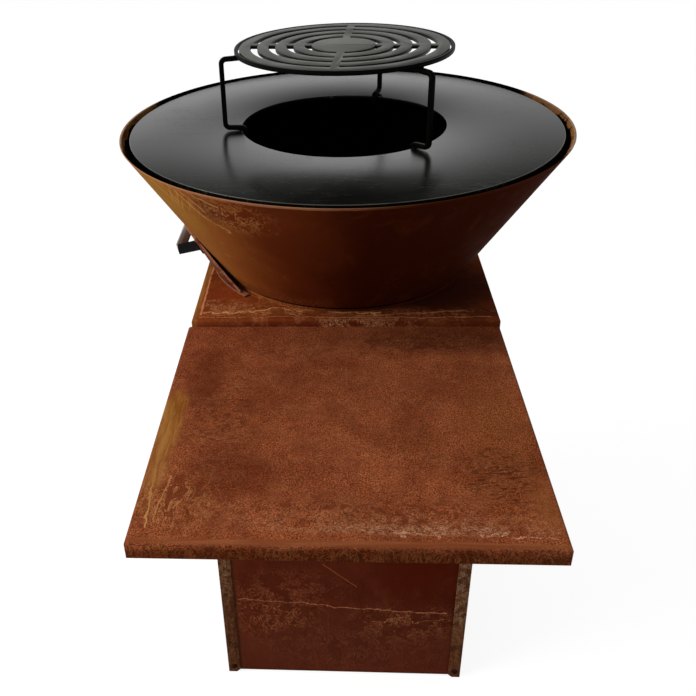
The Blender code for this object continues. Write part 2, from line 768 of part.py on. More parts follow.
def grate_stand(parent):
    hoop = [
        (hoop_radius, hoop_low),
        (hoop_radius, hoop_low + HOOP_HEIGHT),
        (hoop_radius - HOOP_WALL, hoop_low + HOOP_HEIGHT),
        (hoop_radius - HOOP_WALL, hoop_low),
    ]
    finish(turned(hoop, 96), "stand_hoop", "black_bar", parent, smooth=True)
    points = [(radius, -STAND_BAR / 2, height) for radius, height in stand_leg_outline()]
    names = {"left_stand_leg": pi, "front_stand_leg": -pi / 3, "back_stand_leg": pi / 3}
    for name, turn in names.items():
        leg = finish(prism(points, (0, STAND_BAR, 0)), name, "black_bar", parent)
        place(leg, turn=turn + STAND_TURN)


def slot_form(bm, inner, outer, quarter):
    """One slot: a ring's quarter whose ends run parallel to the bridges beside it."""
    low, high = grate_low - 0.002, grate_low + GRATE_WALL + 0.002
    rows = []
    for radius in (inner, outer):
        ease = asin(BRIDGE_WIDTH / 2 / radius)
        start, end = quarter + ease, quarter + pi / 2 - ease
        turns = [start + (end - start) * step / SLOT_STEPS for step in range(SLOT_STEPS + 1)]
        rows.append([(radius * cos(turn), radius * sin(turn)) for turn in turns])
    outline = rows[0] + rows[1][::-1]
    base = face_of(bm, [(x, y, low) for x, y in outline])
    drawn = bmesh.ops.extrude_face_region(bm, geom=[base])
    moved = [part for part in drawn["geom"] if isinstance(part, bmesh.types.BMVert)]
    bmesh.ops.translate(bm, verts=moved, vec=(0, 0, high - low))


def grate_disc(parent):
    """A plate with rings of slots, held together by four bridges."""
    low, high = grate_low, grate_low + GRATE_WALL
    profile = [(0, low), (grate_radius, low), (grate_radius, high), (0, high)]
    disc = finish(turned(profile, 96), "grate_disc", "seasoned_steel", parent, smooth=True)
    bm = bmesh.new()
    for row in range(SLOT_ROWS):
        inner = SLOT_FIRST + row * slot_pitch
        for quarter in range(4):
            slot_form(bm, inner, inner + SLOT_WIDTH, quarter * pi / 2 + GRATE_TURN)
    combine(disc, finish(bm, "grate_slots", None, parent), "DIFFERENCE")


def build():
    clear_scene()
    for name, colour, roughness, metallic in (
        ("rusted_table", (0.26, 0.105, 0.045), 0.8, 0.2),
        ("rusted_tray", (0.21, 0.08, 0.035), 0.75, 0.2),
        ("rusted_bowl", (0.24, 0.10, 0.04), 0.7, 0.3),
        ("rusted_panel", (0.10, 0.032, 0.016), 0.75, 0.2),
        ("rusted_post", (0.13, 0.06, 0.035), 0.75, 0.2),
        ("sooty_steel", (0.03, 0.028, 0.027), 0.85, 0.3),
        ("seasoned_steel", (0.09, 0.09, 0.085), 0.4, 0.7),
        ("black_bar", (0.02, 0.02, 0.02), 0.5, 0.4),
        ("black_handle", (0.02, 0.02, 0.02), 0.3, 0.5),
        ("blackened_bolt", (0.04, 0.035, 0.03), 0.5, 0.6),
    ):
        make_material(name, colour, roughness, metallic)
    axis = make_empty("bowl_axis", (0, axis_back, 0))
    pedestal(axis)
    base_tray(axis)
    side_table(axis)
    bowl_base(axis)
    bowl_shell(axis)
    support_lugs(axis)
    hatch_sill(axis)
    hatch = make_empty("hatch_lift", (0, 0, 0), axis)
    screw_handle(hatch_handle(hatch), hatch_cover(hatch), hatch)
    griddle_lift = make_empty("griddle_lift", (0, 0, 0), axis)
    griddle(griddle_lift)
    stand_lift = make_empty("stand_lift", (0, 0, 0), griddle_lift)
    grate_stand(stand_lift)
    grate_disc(make_empty("grate_lift", (0, 0, 0), stand_lift))


build()
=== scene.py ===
# Fire pit grill: a fire bowl with a ring griddle and a grate, on a folded sheet pedestal with a side table.
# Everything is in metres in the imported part's frame, and each piece stands where its node stands.
from math import asin, atan, cos, pi, radians, sin, tan

import bmesh
import bpy
from mathutils import Matrix, Vector


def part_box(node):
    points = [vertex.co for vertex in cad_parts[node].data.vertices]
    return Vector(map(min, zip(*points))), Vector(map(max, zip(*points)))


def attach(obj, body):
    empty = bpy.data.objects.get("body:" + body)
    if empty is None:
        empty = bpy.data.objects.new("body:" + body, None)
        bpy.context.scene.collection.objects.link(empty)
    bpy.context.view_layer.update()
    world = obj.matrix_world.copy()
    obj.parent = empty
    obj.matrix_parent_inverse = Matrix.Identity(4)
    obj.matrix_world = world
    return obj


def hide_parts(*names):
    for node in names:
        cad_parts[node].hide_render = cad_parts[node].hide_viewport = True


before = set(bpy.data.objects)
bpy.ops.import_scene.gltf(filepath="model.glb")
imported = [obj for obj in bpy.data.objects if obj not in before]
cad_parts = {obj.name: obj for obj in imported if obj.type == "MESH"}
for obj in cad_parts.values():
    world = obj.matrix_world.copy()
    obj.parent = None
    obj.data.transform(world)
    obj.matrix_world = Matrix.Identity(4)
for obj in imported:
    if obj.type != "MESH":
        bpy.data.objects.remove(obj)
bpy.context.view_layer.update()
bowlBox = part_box("bowl_shell")
axisBack = (bowlBox[0].y + bowlBox[1].y) / 2  # the bowl's axis stands here along Y
bowlAxis = Vector((0, axisBack, 0))
print("frame loaded:", len(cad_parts), "nodes")

bowlLook = {
    "foot": 0.230,
    "sheet": 0.003,
    "edge": 0.0006,
    "steps": 256,
    "opening": (0.190, 0.053, 0.010),  # width, height and corner
    "openingRise": 0.029,  # above the tray
    "openingEdge": 0.0004,
}
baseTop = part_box("base_tray")[1].z
bowlSlope = (bowlBox[1].x - bowlLook["foot"]) / (bowlBox[1].z - bowlBox[0].z)


# Camera, floor and light

cameraLook = {
    "place": (-0.00987, -1.21047, 1.56313),
    "turn": (59.446702, 1.985243, 3.144512),  # degrees
    "lens": 42.0967,
    "shift": (0.0901724, -0.0402299),
}


def addCamera(look):
    bpy.ops.object.camera_add(location=look["place"], rotation=[radians(angle) for angle in look["turn"]])
    camera = bpy.context.active_object
    camera.data.lens = look["lens"]
    camera.data.shift_x, camera.data.shift_y = look["shift"]
    bpy.context.scene.camera = camera


class Wire:  # an output socket that takes part in sums
    def __init__(self, socket):
        self.socket = socket

    def reckon(self, operation, first, second=0.0):
        tree = self.socket.id_data
        node = tree.nodes.new("ShaderNodeMath")
        node.operation = operation
        for place, value in zip(node.inputs, (first, second)):
            if isinstance(value, Wire):
                tree.links.new(value.socket, place)
            else:
                place.default_value = value
        return Wire(node.outputs[0])

    def __add__(self, other):
        return self.reckon("ADD", self, other)

    def __radd__(self, other):
        return self.reckon("ADD", other, self)

    def __sub__(self, other):
        return self.reckon("SUBTRACT", self, other)

    def __rsub__(self, other):
        return self.reckon("SUBTRACT", other, self)

    def __mul__(self, other):
        return self.reckon("MULTIPLY", self, other)

    def __truediv__(self, other):
        return self.reckon("DIVIDE", self, other)

    def __pow__(self, other):
        return self.reckon("POWER", self, other)

    def __abs__(self):
        return self.reckon("ABSOLUTE", self)

    def over(self, other):
        return self.reckon("MAXIMUM", self, other)


def paint(red, green, blue):  # a colour as read off a screen, made linear
    def straight(level):
        part = level / 255
        return part / 12.92 if part <= 0.04045 else ((part + 0.055) / 1.055) ** 2.4

    return (straight(red), straight(green), straight(blue), 1.0)


class Finish:  # one material, put together node by node
    def __init__(self, name, tree=None, **constants):
        if tree is None:
            self.material = bpy.data.materials.new(name)
            self.material.use_nodes = True
            tree = self.material.node_tree
            self.shader = tree.nodes["Principled BSDF"]
            for socket, value in constants.items():
                self.shader.inputs[socket.replace("_", " ")].default_value = value
        self.tree = tree

    def node(self, kind, settings=None, sockets=None, output=0):
        made = self.tree.nodes.new(kind)
        for name, value in (settings or {}).items():
            if name == "stops":
                self.setStops(made.color_ramp, value)
            else:
                setattr(made, name, value)
        for name, value in (sockets or {}).items():
            self.join(value, made.inputs[name])
        return Wire(made.outputs[output])

    def join(self, value, socket):
        if isinstance(value, Wire):
            self.tree.links.new(value.socket, socket)
        else:
            socket.default_value = value

    def setStops(self, ramp, stops):
        while len(ramp.elements) < len(stops):
            ramp.elements.new(0.5)
        for element, (place, colour) in zip(ramp.elements, stops):
            element.position = place
            element.color = colour

    def place(self):
        return self.node("ShaderNodeTexCoord", output="Object")

    def split(self, place):
        parts = self.node("ShaderNodeSeparateXYZ", sockets={"Vector": place}).socket.node.outputs
        return [Wire(part) for part in parts]

    def stretch(self, place, scale, turn=(0, 0, 0)):
        return self.node("ShaderNodeMapping", sockets={"Vector": place, "Scale": scale, "Rotation": turn})

    def noise(self, place, scale, detail=3.0, rough=0.5, bend=0.0):
        sockets = {"Vector": place, "Scale": scale, "Detail": detail, "Roughness": rough}
        return self.node("ShaderNodeTexNoise", sockets={**sockets, "Distortion": bend})

    def cells(self, place, scale):
        return self.node("ShaderNodeTexVoronoi", sockets={"Vector": place, "Scale": scale})

    def step(self, value, low, high):  # 0 at low, 1 at high, smooth between them
        sockets = {"Value": value, "From Min": low, "From Max": high}
        return self.node("ShaderNodeMapRange", {"interpolation_type": "SMOOTHSTEP"}, sockets)

    def mix(self, share, under, over, blend="MIX"):
        settings = {"data_type": "RGBA", "blend_type": blend, "clamp_factor": True}
        return self.node("ShaderNodeMix", settings, {0: share, 6: under, 7: over}, 2)

    def vector(self, operation, first, second, output=0):
        return self.node("ShaderNodeVectorMath", {"operation": operation}, {0: first, 1: second}, output)

    def spot(self, place, centre, reach, ragged, edge=0.35):  # 1 inside a ragged blot, 0 outside it
        share = self.vector("DIVIDE", self.vector("SUBTRACT", place, centre), reach)
        far = self.node("ShaderNodeVectorMath", {"operation": "LENGTH"}, {0: share}, "Value")
        return self.step(far + (ragged - 0.5) * 1.3, 1 + edge, 1 - edge)

    def line(self, place, start, end, normal, width, wander):  # 1 on a wandering line, 0 beside it
        start, end = Vector(start), Vector(end)
        along = (end - start).normalized()
        away = self.vector("SUBTRACT", place, start)
        run = self.vector("DOT_PRODUCT", away, along, "Value")
        beside = self.vector("DOT_PRODUCT", away, Vector(normal).cross(along), "Value")
        length = (end - start).length
        ends = self.step(run, -width, width) * self.step(run, length + width, length - width)
        near = self.step(abs(self.vector("DOT_PRODUCT", away, normal, "Value")), 0.03, 0.02)
        return self.step(abs(beside + wander), width, width * 0.3) * ends * near

    def finish(self, colour, rough, height=None, depth=0.0, metal=None):
        self.join(colour, self.shader.inputs["Base Color"])
        self.join(rough, self.shader.inputs["Roughness"])
        if metal is not None:
            self.join(metal, self.shader.inputs["Metallic"])
        if height is not None:
            sockets = {"Height": height, "Distance": depth, "Strength": 1.0}
            bump = self.node("ShaderNodeBump", sockets=sockets)
            self.join(bump, self.shader.inputs["Normal"])
        return self.material


studio = {
    "fill": 0.42,  # world light on the object
    "backdrop": (0.66, 0.16),  # the mirrored white backdrop ends between these sines of the height angle
    "ceiling": 0.03,  # what metal mirrors above it
    "farSide": 0.42,  # how much dimmer the mirrored backdrop is on the right
    "farFrom": (0.05, 0.35),  # it dims between these, as sines of the angle to the right
    "keyPlace": (-3.2, -1.2, 3.0),
    "keyAim": (0, 0.1, 0.8),
    "keySize": 2.2,
    "keyPower": 78.0,
    "floorTone": 0.32,
    "floorWhite": 0.86,
}


def seenRays(finish):  # 1 for a ray that shows the backdrop itself or its mirror image
    path = finish.node("ShaderNodeLightPath").socket.node.outputs
    shown = Wire(path["Is Camera Ray"])
    for name in ("Is Glossy Ray", "Is Transmission Ray"):
        shown = shown.over(Wire(path[name]))
    return shown, Wire(path["Is Glossy Ray"])


def addStudio(look):
    world = bpy.context.scene.world or bpy.data.worlds.new("studio")
    bpy.context.scene.world = world
    world.use_nodes = True
    air = Finish("studioAir", world.node_tree)
    shown, mirrored = seenRays(air)
    across, _, rise = air.split(air.node("ShaderNodeTexCoord", output="Generated"))
    bright = air.step(rise, *look["backdrop"]) * (1 - air.step(across, *look["farFrom"]) * look["farSide"])
    dim = mirrored * (1 - look["ceiling"]) * (1 - bright)
    background = world.node_tree.nodes["Background"]
    background.inputs["Color"].default_value = (1, 1, 1, 1)
    air.join(shown + (1 - shown) * look["fill"] - dim, background.inputs["Strength"])

    bpy.ops.object.light_add(type="AREA", location=look["keyPlace"])
    key = bpy.context.active_object
    key.data.shape = "DISK"
    key.data.size = look["keySize"]
    key.data.energy = look["keyPower"]
    aim = Vector(look["keyAim"]) - Vector(look["keyPlace"])
    key.rotation_euler = aim.to_track_quat("-Z", "Y").to_euler()

    bpy.ops.mesh.primitive_plane_add(size=60, location=(0, 0, 0))
    floor = bpy.context.active_object
    floor.name = "studioFloor"
    pale = Finish("paleFloor", Roughness=0.9, Specular_IOR_Level=0.0)
    pale.shader.inputs["Emission Strength"].default_value = 1.0
    lift = seenRays(pale)[0] * look["floorWhite"]
    white = pale.node("ShaderNodeCombineColor", sockets={"Red": lift, "Green": lift, "Blue": lift})
    pale.join(white, pale.shader.inputs["Emission Color"])
    floor.data.materials.append(pale.finish((look["floorTone"],) * 3 + (1,), 0.9))


addCamera(cameraLook)
addStudio(studio)
bpy.context.scene.view_settings.view_transform = "Standard"
print("camera, floor and light are set")


# Ways of working that the pieces share


def deselect():
    if bpy.context.mode != "OBJECT":
        bpy.ops.object.mode_set(mode="OBJECT")
    bpy.ops.object.select_all(action="DESELECT")


def take(item):
    deselect()
    item.select_set(True)
    bpy.context.view_layer.objects.active = item
    return item


def work(item):
    take(item)
    bpy.ops.object.mode_set(mode="EDIT")


def started(name):  # the primitive just added, under its own name and in edit mode
    item = bpy.context.active_object
    item.name = name
    bpy.ops.object.transform_apply(location=True, rotation=True, scale=True)
    bpy.ops.object.mode_set(mode="EDIT")
    return item


def pick(item, kind, wanted):  # selects the verts, edges or faces that pass a test
    bpy.ops.mesh.select_mode(type=kind)
    bpy.ops.mesh.select_all(action="DESELECT")
    form = bmesh.from_edit_mesh(item.data)
    form.normal_update()
    parts = {"VERT": form.verts, "EDGE": form.edges, "FACE": form.faces}[kind]
    found = [part for part in parts if wanted(part)]
    for part in found:
        part.select_set(True)
    bmesh.update_edit_mesh(item.data)
    return len(found)


def mend(item):  # joins doubles and turns every face outwards
    work(item)
    bpy.ops.mesh.select_mode(type="VERT")
    bpy.ops.mesh.select_all(action="SELECT")
    bpy.ops.mesh.remove_doubles(threshold=0.000005)
    bpy.ops.mesh.normals_make_consistent(inside=False)
    bpy.ops.object.mode_set(mode="OBJECT")
    return item


def applied(item, kind, **settings):
    take(item)
    modifier = item.modifiers.new(kind.lower(), kind)
    for name, value in settings.items():
        setattr(modifier, name, value)
    bpy.ops.object.modifier_apply(modifier=modifier.name)
    return item


def rounded(item, width, segments=2, angle=30):  # softens every edge sharper than the angle
    limit = {"limit_method": "ANGLE", "angle_limit": radians(angle)}
    return applied(item, "BEVEL", width=width, segments=segments, harden_normals=False, **limit)


def cutBy(item, cutter, operation="DIFFERENCE"):
    applied(item, "BOOLEAN", object=cutter, operation=operation, solver="EXACT")
    bpy.data.objects.remove(cutter, do_unlink=True)
    return item


def twin(item, name):
    take(item)
    bpy.ops.object.duplicate(linked=False)
    copy = bpy.context.active_object
    copy.name = name
    return copy


def settle(item, spot=(0, 0, 0), turn=None):  # moves and turns a piece, then puts its place in its mesh
    take(item)
    item.matrix_world = Matrix.Translation(Vector(spot)) @ (turn or Matrix.Identity(3)).to_4x4()
    bpy.ops.object.transform_apply(location=True, rotation=True, scale=True)
    return item


def aboutAxis(item, angle):  # turns a piece round the bowl's axis
    turn = Matrix.Rotation(angle, 3, "Z")
    return settle(item, bowlAxis - turn @ bowlAxis, turn)


def drawn(name, points):  # a closed outline, drawn on from point to point
    deselect()
    points = [Vector(point) for point in points]
    bpy.ops.mesh.primitive_plane_add(size=0.001, location=points[0])
    item = started(name)
    bpy.ops.mesh.select_mode(type="VERT")
    bpy.ops.mesh.select_all(action="SELECT")
    bpy.ops.mesh.merge(type="CENTER")
    for before, after in zip(points, points[1:]):
        bpy.ops.mesh.extrude_region_move(TRANSFORM_OT_translate={"value": after - before})
    pick(item, "VERT", lambda vert: len(vert.link_edges) < 2)
    bpy.ops.mesh.edge_face_add()
    bpy.ops.mesh.select_all(action="SELECT")
    return item


def spun(name, outline, steps, sweep=2 * pi, start=0.0, centre=bowlAxis):  # turns (radius, height) points
    spoke = Vector((cos(start), sin(start), 0))
    item = drawn(name, [centre + spoke * radius + Vector((0, 0, height)) for radius, height in outline])
    whole = sweep > 6.28
    if not whole:
        bpy.ops.mesh.edge_face_add()
    bpy.ops.mesh.spin(steps=steps, angle=sweep, center=centre, axis=(0, 0, 1), use_auto_merge=whole)
    return mend(item)


def joined(first, second):  # two pieces as one mesh
    if first is None:
        return second
    take(second).select_set(True)
    first.select_set(True)
    bpy.context.view_layer.objects.active = first
    bpy.ops.object.join()
    return first


def camel(node):  # a node's name as a piece's name
    first, *rest = node.split("_")
    return first + "".join(word.title() for word in rest)


def numbered(name, count):  # the names of nodes that differ by a number
    return [f"{name}_{number}" for number in range(1, count + 1)]


def softened(node, name, width):  # a copy of a node's solid with its edges rounded
    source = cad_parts[node]
    item = bpy.data.objects.new(name, source.data.copy())
    bpy.context.scene.collection.objects.link(item)
    mend(item)
    work(item)
    bpy.ops.mesh.select_all(action="SELECT")
    bpy.ops.mesh.dissolve_limited(angle_limit=radians(0.5))
    bpy.ops.object.mode_set(mode="OBJECT")
    return rounded(item, width) if width else item


smoothBelow = 32  # degrees between faces that are shaded as one


def done(item, body, finish, *nodes):  # shades a piece, finishes it and hangs it on its body
    material, slot = finishes[finish]
    take(item)
    bpy.ops.object.transform_apply(location=True, rotation=True, scale=True)
    bpy.ops.object.shade_smooth_by_angle(angle=radians(smoothBelow))
    item.data.materials.clear()
    item.data.materials.append(material)
    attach(item, body)
    if nodes:
        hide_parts(*nodes)


# Rust and steel finishes

rustGrain = {
    "scale": 580.0,
    "depth": 0.00018,
    "shine": 0.03,
    "rough": 0.74,
    "peak": (1.80, 1.74, 1.62, 1),  # the colour is multiplied by this on the grain's peaks
    "pit": (0.50, 0.46, 0.42, 1),  # and by this in its pits
}


def sheetRust(name, look):  # stains, mottling and grain, then crusted marks, lines and smooth films
    finish = Finish(name, IOR=1.45, Specular_IOR_Level=rustGrain["shine"])
    place = finish.place()
    broad = finish.noise(place, look["broad"], 4, 0.55, 0.6)
    mottle = finish.noise(finish.stretch(place, look.get("run", (1, 1, 1))), look["mottle"], 5, 0.6, 0.25)
    grain = finish.noise(place, look.get("grain", rustGrain["scale"]), 2, 0.6)
    fine = finish.noise(place, rustGrain["scale"] * 1.6, 1, 0.5)
    ragged = finish.noise(place, look["mottle"] * 0.7, 5, 0.65, 0.4)
    axis, level, thick = look.get("plane", (2, 0, 0))

    def whole(pair, third):  # a pair in the sheet's own plane gets its third number
        return pair if len(pair) == 3 else (*pair[:axis], third, *pair[axis:])

    def blotch(centre, reach, edge):
        return finish.spot(place, whole(centre, level), whole(reach, thick), ragged, edge)

    colour = finish.mix(finish.step(broad, 0.36, 0.66), paint(*look["dark"]), paint(*look["mid"]))
    colour = finish.mix(finish.step(mottle, 0.46, 0.72) * look["lightShare"], colour, paint(*look["light"]))
    colour = finish.mix(finish.step(mottle, 0.46, 0.28) * look["darkShare"], colour, paint(*look["deep"]))
    for centre, reach, tone, share, edge in look.get("blots", ()):
        colour = finish.mix(blotch(centre, reach, edge) * share, colour, paint(*tone))

    patchy = 0.40 + finish.step(finish.noise(place, look["broad"] * 2.4, 4, 0.6, 0.8), 0.38, 0.58) * 0.60
    speckle = (grain - 0.5 + (fine - 0.5) * 0.6) * patchy * look["grainTone"]
    colour = finish.mix(finish.step(speckle, 0.03, 0.24), colour, rustGrain["peak"], "MULTIPLY")
    colour = finish.mix(finish.step(speckle, -0.03, -0.24), colour, rustGrain["pit"], "MULTIPLY")
    rough = rustGrain["rough"] + (mottle - 0.5) * 0.3
    height = grain * 0.7 + fine * 0.3 + mottle * 1.2

    for centre, reach, run, scale, ground, groundShare, tone, share in look.get("marks", ()):
        area = blotch(centre, reach, 0.65)
        wave = finish.noise(finish.stretch(place, run), scale, 4, 0.65, 1.3)
        colour = finish.mix(finish.step(wave, 0.50, 0.58) * area * groundShare, colour, paint(*ground))
        vein = finish.step(abs(wave - 0.5), 0.036, 0.010) * area * finish.step(ragged, 0.44, 0.53)
        colour = finish.mix(vein * share, colour, paint(*tone))
        height = height + (vein - wave * area * 0.6) * 1.4
    for start, end, width, wander, tone, share, *normal in look.get("lines", ()):
        ends = whole(start, level), whole(end, level)
        out = normal[0] if normal else whole((0, 0), 1)
        line = finish.line(place, *ends, out, width, (ragged - 0.5) * wander)
        line = line * finish.step(grain + mottle, 0.72, 1.0)
        colour = finish.mix(line * share, colour, paint(*tone))
        height = height + line * 0.6
    for centre, reach, run, tone, streak, share, edge in look.get("films", ()):
        film = blotch(centre, reach, edge) * share
        veil = finish.noise(finish.stretch(place, run), 150, 3, 0.6, 0.4)
        streaked = finish.mix(finish.step(veil, 0.42, 0.62), paint(*tone), paint(*streak))
        colour = finish.mix(film, colour, streaked)
        height = height * (1 - film * 0.8)
    return finish.finish(colour, rough, height, look.get("depth", rustGrain["depth"]))


tableRust = {
    "plane": (2, 0.881, 0.05),  # across this axis (0 is x), its level and the reach given to pairs
    "dark": (134, 68, 40),
    "mid": (154, 83, 50),
    "light": (172, 104, 66),
    "deep": (116, 54, 30),
    "lightShare": 0.40,
    "darkShare": 0.45,
    "broad": 9.0,
    "mottle": 46.0,
    "grain": 520.0,
    "grainTone": 3.2,
    "blots": (  # centre, reach, tone, share, edge
        ((-0.145, -0.432), (0.052, 0.052), (104, 44, 22), 0.7, 0.6),
        ((-0.205, -0.225), (0.028, 0.08), (104, 45, 23), 0.62, 0.6),
        ((0.165, -0.118), (0.12, 0.04), (90, 42, 21), 0.8, 0.7),
        ((0, -0.105), (0.2, 0.026), (118, 62, 36), 0.35, 0.7),
        ((0.09, -0.36), (0.035, 0.04), (122, 62, 33), 0.6, 0.7),
        ((0.205, -0.345), (0.04, 0.12), (140, 78, 40), 0.7, 0.7),
        ((0.19, -0.44), (0.044, 0.056), (124, 62, 32), 0.6, 0.6),
        ((0.238, -0.415), (0.01, 0.024), (108, 50, 24), 0.5, 0.7),
        ((-0.205, -0.5), (0.046, 0.048), (150, 84, 50), 0.7, 0.6),
        ((0, -0.5545, 0.861), (0.3, 0.008, 0.013), (104, 47, 20), 0.9, 0.3),
        ((0.2495, -0.3), (0.0022, 0.3), (84, 34, 14), 0.85, 0.3),
        ((-0.2555, -0.3), (0.0022, 0.3), (70, 30, 14), 0.85, 0.3),
        ((-0.257, -0.3, 0.861), (0.008, 0.3, 0.013), (104, 45, 17), 0.8, 0.3),
    ),
    "marks": (  # centre, reach, stretch, scale, ground tone and share, line tone and share
        ((0.03, -0.503), (0.235, 0.026), (1, 1.2, 1), 80, (112, 50, 26), 0.7, (206, 128, 84), 0.6),
        ((0.06, -0.518), (0.19, 0.016), (1, 1.3, 1), 130, (112, 51, 27), 0.6, (232, 154, 106), 0.8),
        ((0.1, -0.528), (0.15, 0.007), (1, 2, 1), 105, (122, 60, 34), 0.4, (246, 184, 138), 0.92),
        ((-0.212, -0.48), (0.052, 0.05), (1.6, 0.5, 1), 62, (112, 50, 25), 0.75, (206, 138, 84), 0.95),
        ((0.186, -0.44), (0.05, 0.06), (0.45, 1.8, 1), 95, (90, 38, 17), 0.85, (186, 112, 68), 0.8),
        ((0.12, -0.125), (0.13, 0.03), (1, 1.5, 1), 70, (92, 42, 22), 0.6, (176, 106, 70), 0.6),
        ((-0.06, -0.15), (0.09, 0.03), (1, 1, 1), 60, (118, 58, 33), 0.5, (186, 118, 80), 0.5),
        ((-0.02, -0.33), (0.23, 0.16), (0.8, 1.1, 1), 70, (132, 66, 38), 0.3, (176, 108, 70), 0.28),
        ((0, -0.555, 0.861), (0.3, 0.01, 0.016), (1, 1, 0.4), 70, (78, 32, 13), 0.6, (160, 98, 56), 0.6),
        ((-0.17, -0.33), (0.05, 0.15), (0.8, 1.3, 1), 120, (100, 44, 22), 0.65, (174, 102, 62), 0.55),
    ),
    "lines": (  # start, end, width, wander, tone, share
        ((0.05, -0.531), (0.11, -0.529), 0.001, 0.06, (240, 184, 146), 0.85),
        ((0.135, -0.527), (0.185, -0.533), 0.0011, 0.06, (240, 186, 148), 0.85),
        ((0.185, -0.54), (0.235, -0.537), 0.0009, 0.03, (232, 176, 138), 0.8),
        ((-0.228, -0.275), (-0.2245, -0.33), 0.0016, 0.01, (190, 124, 66), 0.8),
        ((-0.2245, -0.33), (-0.24, -0.43), 0.0018, 0.014, (200, 138, 76), 0.8),
        ((-0.24, -0.43), (-0.236, -0.53), 0.0018, 0.014, (210, 150, 88), 0.9),
        ((-0.22, -0.44), (-0.227, -0.522), 0.0015, 0.016, (204, 140, 84), 0.8),
        ((0.001, -0.185), (0.004, -0.25), 0.0009, 0.006, (176, 108, 72), 0.6),
    ),
    "films": (  # centre, reach, stretch, tone, streak tone, share, edge
        ((-0.24, -0.325), (0.0185, 0.066), (1, 0.1, 1), (148, 88, 32), (178, 120, 56), 0.9, 0.45),
        ((-0.244, -0.405), (0.015, 0.068), (1, 0.1, 1), (154, 96, 42), (184, 128, 66), 0.75, 0.7),
        ((0.234, -0.49), (0.017, 0.046), (1, 0.1, 1), (148, 84, 42), (164, 100, 54), 0.5, 0.75),
        ((0, -0.5495, 0.881), (0.3, 0.0042, 0.006), (0.05, 1, 1), (140, 74, 42), (158, 92, 56), 0.85, 0.3),
    ),
}

trayRust = {
    "plane": (2, 0.894, 0.05),
    "dark": (112, 48, 20),
    "mid": (142, 66, 28),
    "light": (160, 92, 46),
    "deep": (78, 30, 12),
    "lightShare": 0.40,
    "darkShare": 0.5,
    "broad": 8.0,
    "mottle": 30.0,
    "run": (1, 2.4, 1),
    "grainTone": 0.8,
    "blots": (
        # painted light lifting the tray's left, where the bowl shades it
        ((-0.165, 0.01), (0.065, 0.045), (152, 68, 30), 0.8, 0.5),
        # partly darker rust, partly the bowl's shadow painted on the tray's right
        ((0.16, 0.02), (0.13, 0.11), (62, 24, 9), 0.92, 0.6),
        ((-0.1, -0.052), (0.15, 0.012), (150, 84, 40), 0.7, 0.6),
        ((-0.14, -0.028), (0.09, 0.016), (150, 80, 38), 0.6, 0.7),
        ((0.1, -0.066), (0.17, 0.014), (96, 44, 22), 0.7, 0.6),
        ((0, -0.08, 0.872), (0.3, 0.008, 0.018), (92, 34, 17), 0.85, 0.4),
    ),
    "marks": (
        ((0.01, -0.0775, 0.88), (0.08, 0.01, 0.014), (1, 1, 1), 150, (92, 38, 18), 0.5, (244, 180, 126), 0.95),
        ((-0.205, -0.028), (0.04, 0.016), (1, 1, 1), 130, (120, 52, 24), 0.5, (240, 170, 120), 0.95),
        ((-0.13, -0.05), (0.12, 0.022), (0.8, 1.8, 1), 85, (104, 44, 20), 0.6, (240, 168, 114), 0.95),
        ((0.12, -0.06), (0.14, 0.018), (0.8, 1.8, 1), 60, (84, 36, 18), 0.6, (186, 116, 76), 0.7),
        ((-0.13, 0.06), (0.08, 0.12), (1.2, 0.8, 1), 34, (116, 50, 20), 0.5, (180, 96, 46), 0.5),
    ),
    "lines": (
        ((-0.2385, 0.3), (-0.236, -0.062), 0.0024, 0.008, (232, 150, 100), 0.95),
        ((-0.234, -0.058), (-0.12, -0.044), 0.002, 0.05, (236, 160, 106), 0.95),
        ((-0.12, -0.044), (0.06, -0.058), 0.0019, 0.054, (216, 142, 88), 0.95),
        ((-0.238, -0.07), (0.235, -0.071), 0.0013, 0.022, (204, 124, 76), 0.8),
        ((-0.17, 0.012), (-0.08, -0.046), 0.002, 0.05, (196, 118, 64), 0.85),
        ((0.02, -0.066), (0.2, -0.05), 0.002, 0.03, (192, 120, 76), 0.85),
    ),
    "films": (
        ((-0.245, 0.15), (0.0065, 0.26), (1, 0.1, 1), (150, 90, 42), (176, 116, 58), 0.9, 0.3),
    ),
    "depth": 0.00010,
}

